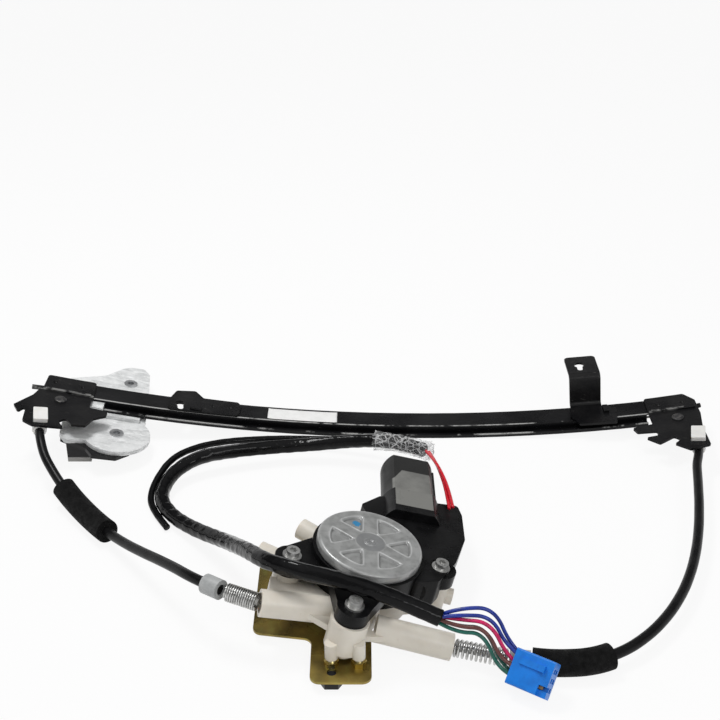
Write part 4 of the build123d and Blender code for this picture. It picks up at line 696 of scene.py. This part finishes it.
# ---------------------------------------------------------------- wires and connector
# Six PVC wires of 2.4 mm leave the tape and drop in one bend to a blue housing
# with a notch and a lock on its face; bronze terminals sit in its cavities.
WIRES = {
    "blue_upper": (0.069, [
        (0.04668, -0.16087, 0.03832), (0.05667, -0.16195, 0.04350), (0.07700, -0.1620, 0.04350),
        (0.08700, -0.17017, 0.02093), (0.0973, -0.17912, 0.01693)]),
    "blue_lower": (0.066, [
        (0.04615, -0.16367, 0.03832), (0.05614, -0.16475, 0.04050), (0.07518, -0.16600, 0.04050),
        (0.08459, -0.17342, 0.02261), (0.09583, -0.18138, 0.01961)]),
    "magenta": (0.068, [
        (0.04572, -0.16069, 0.03582), (0.05571, -0.16477, 0.03700), (0.07432, -0.16950, 0.03900),
        (0.0849, -0.17749, 0.01797), (0.09514, -0.18244, 0.01297)]),
    "brown": (0.066, [
        (0.04519, -0.16349, 0.03582), (0.05518, -0.16857, 0.03446), (0.07168, -0.17168, 0.03650),
        (0.08143, -0.18074, 0.01665), (0.09368, -0.1847, 0.01565)]),
    "green_upper": (0.068, [
        (0.04476, -0.1605, 0.03331), (0.05475, -0.16559, 0.03246), (0.07182, -0.16904, 0.03509),
        (0.08174, -0.17781, 0.01101), (0.09298, -0.18576, 0.00901)]),
    "green_lower": (0.065, [
        (0.04423, -0.16331, 0.03331), (0.05422, -0.16939, 0.03096), (0.07018, -0.1724, 0.03359),
        (0.07928, -0.18207, 0.01169), (0.09152, -0.18802, 0.01169)]),
}
COLOURS = {"blue": (0.004, 0.030, 0.32), "magenta": (0.66, 0.006, 0.12), "brown": (0.125, 0.035, 0.030),
           "green": (0.002, 0.125, 0.090)}
WIRE = 0.0024
for name, (length, route) in WIRES.items():
    colour = name.split("_")[0]
    shade = COLOURS[colour]
    piece = spline(f"lead_{name}", route)
    piece.data.bevel_depth = WIRE / 2
    piece.data.bevel_resolution = 5
    piece.data.use_fill_caps = True
    pvc = finish(f"pvc_{name}", shade, tuple(0.7 * part for part in shade), 0.004, (0.22, 0.34), bump=0.15)
    piece.data.materials.append(pvc)
    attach(piece, "base")
    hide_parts(f"wire_{name}")

plug_blue = finish("connector_blue", (0.0015, 0.200, 0.74), (0.0015, 0.160, 0.62), 0.008, (0.28, 0.40),
                   bump=0.2)
dress(plug_blue, "connector")

piece, path, width, length = cords["harness"]
piece, path, width, length = cords["harness_branch"]
line_of(LEADS, 0.001)


# ---------------------------------------------------------------- clear film round the harness's start
# A scrap of clear packing film, wound round the joint of the leads and the
# harness and crushed, so that its folds catch the light.
FILM_STEP, FILM_RINGS, FILM_LEAD, FILM_SPOKES = 0.0004, 104, 11, 72
FILM_R, FILM_FOLD, FILM_FRAY, FOLD_WIDTH = 0.0052, 0.00085, 0.0011, 0.022
FOLD_LAYERS = ((0.5, (40, 190, 170)), (-0.9, (170, 50, 150)), (0.1, (80, 90, 230)))
film_path = line_of(HARNESS, FILM_STEP)[:FILM_RINGS]
back = film_path[0] - film_path[1]
film_path = np.concatenate([film_path[0] + np.arange(FILM_LEAD, 0, -1)[:, None] * back, film_path])
fold = np.random.default_rng(8).uniform(0, 2 * pi, (9, 3))


def crushed(run, angle):
    """Radius of a crushed tube: a round one, with sharp folds that run askew along it, and ends
    that flare out and fray by the angle."""
    folds = 0
    for i in range(9):
        askew = (1 + i % 4) * angle + run * (130 + 95 * i) * (-1) ** i + fold[i, 0]
        folds = folds + np.abs(np.sin(askew)) ** 0.7 / (2.2 + 0.5 * i)
    near_end = np.exp(-run / 0.003) + np.exp(-(run.max() - run) / 0.004)
    return FILM_R + FILM_FOLD * folds + FILM_FRAY * near_end * (0.6 + np.sin(7 * angle + fold[0, 1]))


def fold_lines(made, turned, stretch):
    """A mask of fold lines, partly creases and partly painted highlight: the narrow lines between cells that
    are stretched and turned.
    """
    tree = made.node_tree
    pull = tree.nodes.new("ShaderNodeMapping")
    pull.inputs["Rotation"].default_value = (0.4 * turned, 0.3, turned)
    pull.inputs["Scale"].default_value = stretch
    cells = tree.nodes.new("ShaderNodeTexVoronoi")
    cells.feature = "DISTANCE_TO_EDGE"
    cells.inputs["Scale"].default_value = 1.0
    tree.links.new(place_of(made), pull.inputs["Vector"])
    tree.links.new(pull.outputs["Vector"], cells.inputs["Vector"])
    return calc(tree, "LESS_THAN", cells.outputs["Distance"], FOLD_WIDTH)


film = skin("clear_film", rings(film_path, (0, 0, 1), crushed, FILM_SPOKES), True)
clear = finish("clear_film", (0.86, 0.87, 0.88), (0.98, 0.98, 0.98), 0.002, (0.06, 0.22), bump=1.0,
               depth=0.0004)
tree = clear.node_tree
# The film is whiter and less clear along fold lines: partly its creases and partly a painted highlight.
creases_and_glints = 0.0
for turned, stretch in FOLD_LAYERS:
    creases_and_glints = calc(tree, "MAXIMUM", fold_lines(clear, turned, stretch), creases_and_glints)
cover = mapped(tree, creases_and_glints, 0.0, 1.0, 0.09, 0.72)
tree.links.new(cover, tree.nodes["Principled BSDF"].inputs["Alpha"])
film.data.materials.append(clear)
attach(film, "base")


# ---------------------------------------------------------------- floor, light and camera
# A plain white table that curves up into a low wall all round, in soft light
# from above and in front.
FLAT_R, WALL_R, WALL_RISE, UNDER = 1.6, 3.2, 1.2, 0.0003
FLOOR_GLOW = 0.90
out = np.concatenate([[0.0, 0.4, 0.9], np.linspace(FLAT_R, WALL_R, 14)])[:, None]
angle = np.linspace(0, 2 * pi, 72, endpoint=False)[None, :]
rise = WALL_RISE * np.clip((out - FLAT_R) / (WALL_R - FLAT_R), 0, 1) ** 2
bowl = np.stack([out * np.cos(angle), out * np.sin(angle), rise - UNDER + 0 * angle], axis=-1)
floor = skin("floor", np.concatenate([bowl, bowl[:, :1]], axis=1))
white = bpy.data.materials.new("floor_white")
white.use_nodes = True
tree = white.node_tree
shader = tree.nodes["Principled BSDF"]
shader.inputs["Base Color"].default_value = (0.85, 0.85, 0.85, 1)
shader.inputs["Roughness"].default_value = 0.8
shader.inputs["Specular IOR Level"].default_value = 0.1
glow = tree.nodes.new("ShaderNodeEmission")
glow.inputs["Strength"].default_value = 1.0
glow.inputs["Color"].default_value = (1, 1, 1, 1)
ray = tree.nodes.new("ShaderNodeLightPath")
seen = calc(tree, "MAXIMUM", ray.outputs["Is Camera Ray"], ray.outputs["Is Glossy Ray"])
seen = calc(tree, "MAXIMUM", seen, ray.outputs["Is Transmission Ray"])
mix = tree.nodes.new("ShaderNodeMixShader")
tree.links.new(calc(tree, "MULTIPLY", seen, FLOOR_GLOW), mix.inputs["Fac"])
tree.links.new(shader.outputs["BSDF"], mix.inputs[1])
tree.links.new(glow.outputs["Emission"], mix.inputs[2])
tree.links.new(mix.outputs["Shader"], tree.nodes["Material Output"].inputs["Surface"])
floor.data.materials.append(white)

world = bpy.data.worlds.new("studio")
bpy.context.scene.world = world
world.use_nodes = True
tree = world.node_tree
ground = tree.nodes["Background"]
split = tree.nodes.new("ShaderNodeSeparateXYZ")
tree.links.new(tree.nodes.new("ShaderNodeTexCoord").outputs["Generated"], split.inputs["Vector"])
above = mapped(tree, split.outputs["Z"], 0.62, 0.92, 0.13, 0.78)
in_front = mapped(tree, split.outputs["Y"], -0.10, -0.60, 0.0, 0.28)
ground.inputs["Color"].default_value = (1, 1, 1, 1)
tree.links.new(calc(tree, "ADD", above, in_front), ground.inputs["Strength"])


def softbox(name, place, aim, width, height, power):
    """A rectangular lamp that faces a point."""
    lamp = bpy.data.lights.new(name, "AREA")
    lamp.shape = "RECTANGLE"
    lamp.size, lamp.size_y, lamp.energy = width, height, power
    box = bpy.data.objects.new(name, lamp)
    box.location = place
    away = np.subtract(aim, place)
    box.rotation_euler = (atan2(sqrt(away[0] ** 2 + away[1] ** 2), -away[2]), 0,
                          atan2(away[1], away[0]) - pi / 2)
    bpy.context.collection.objects.link(box)


softbox("lamp_above", (-0.35, 0.20, 1.1), (0, 0, 0), 0.34, 0.24, 6.0)
softbox("lamp_front", (0.5, -0.9, 0.8), (0, 0, 0), 0.5, 0.35, 2.8)

lens = bpy.data.cameras.new("camera")
lens.lens = 62.5
lens.sensor_width = 36.0
lens.clip_start, lens.clip_end = 0.01, 20.0
camera = bpy.data.objects.new("camera", lens)
camera.location = (-0.003, -0.750, 0.520)
camera.rotation_euler = (radians(62.2), 0, 0)
bpy.context.collection.objects.link(camera)
bpy.context.scene.camera = camera
bpy.context.scene.view_settings.view_transform = "Standard"

bpy.context.view_layer.update()
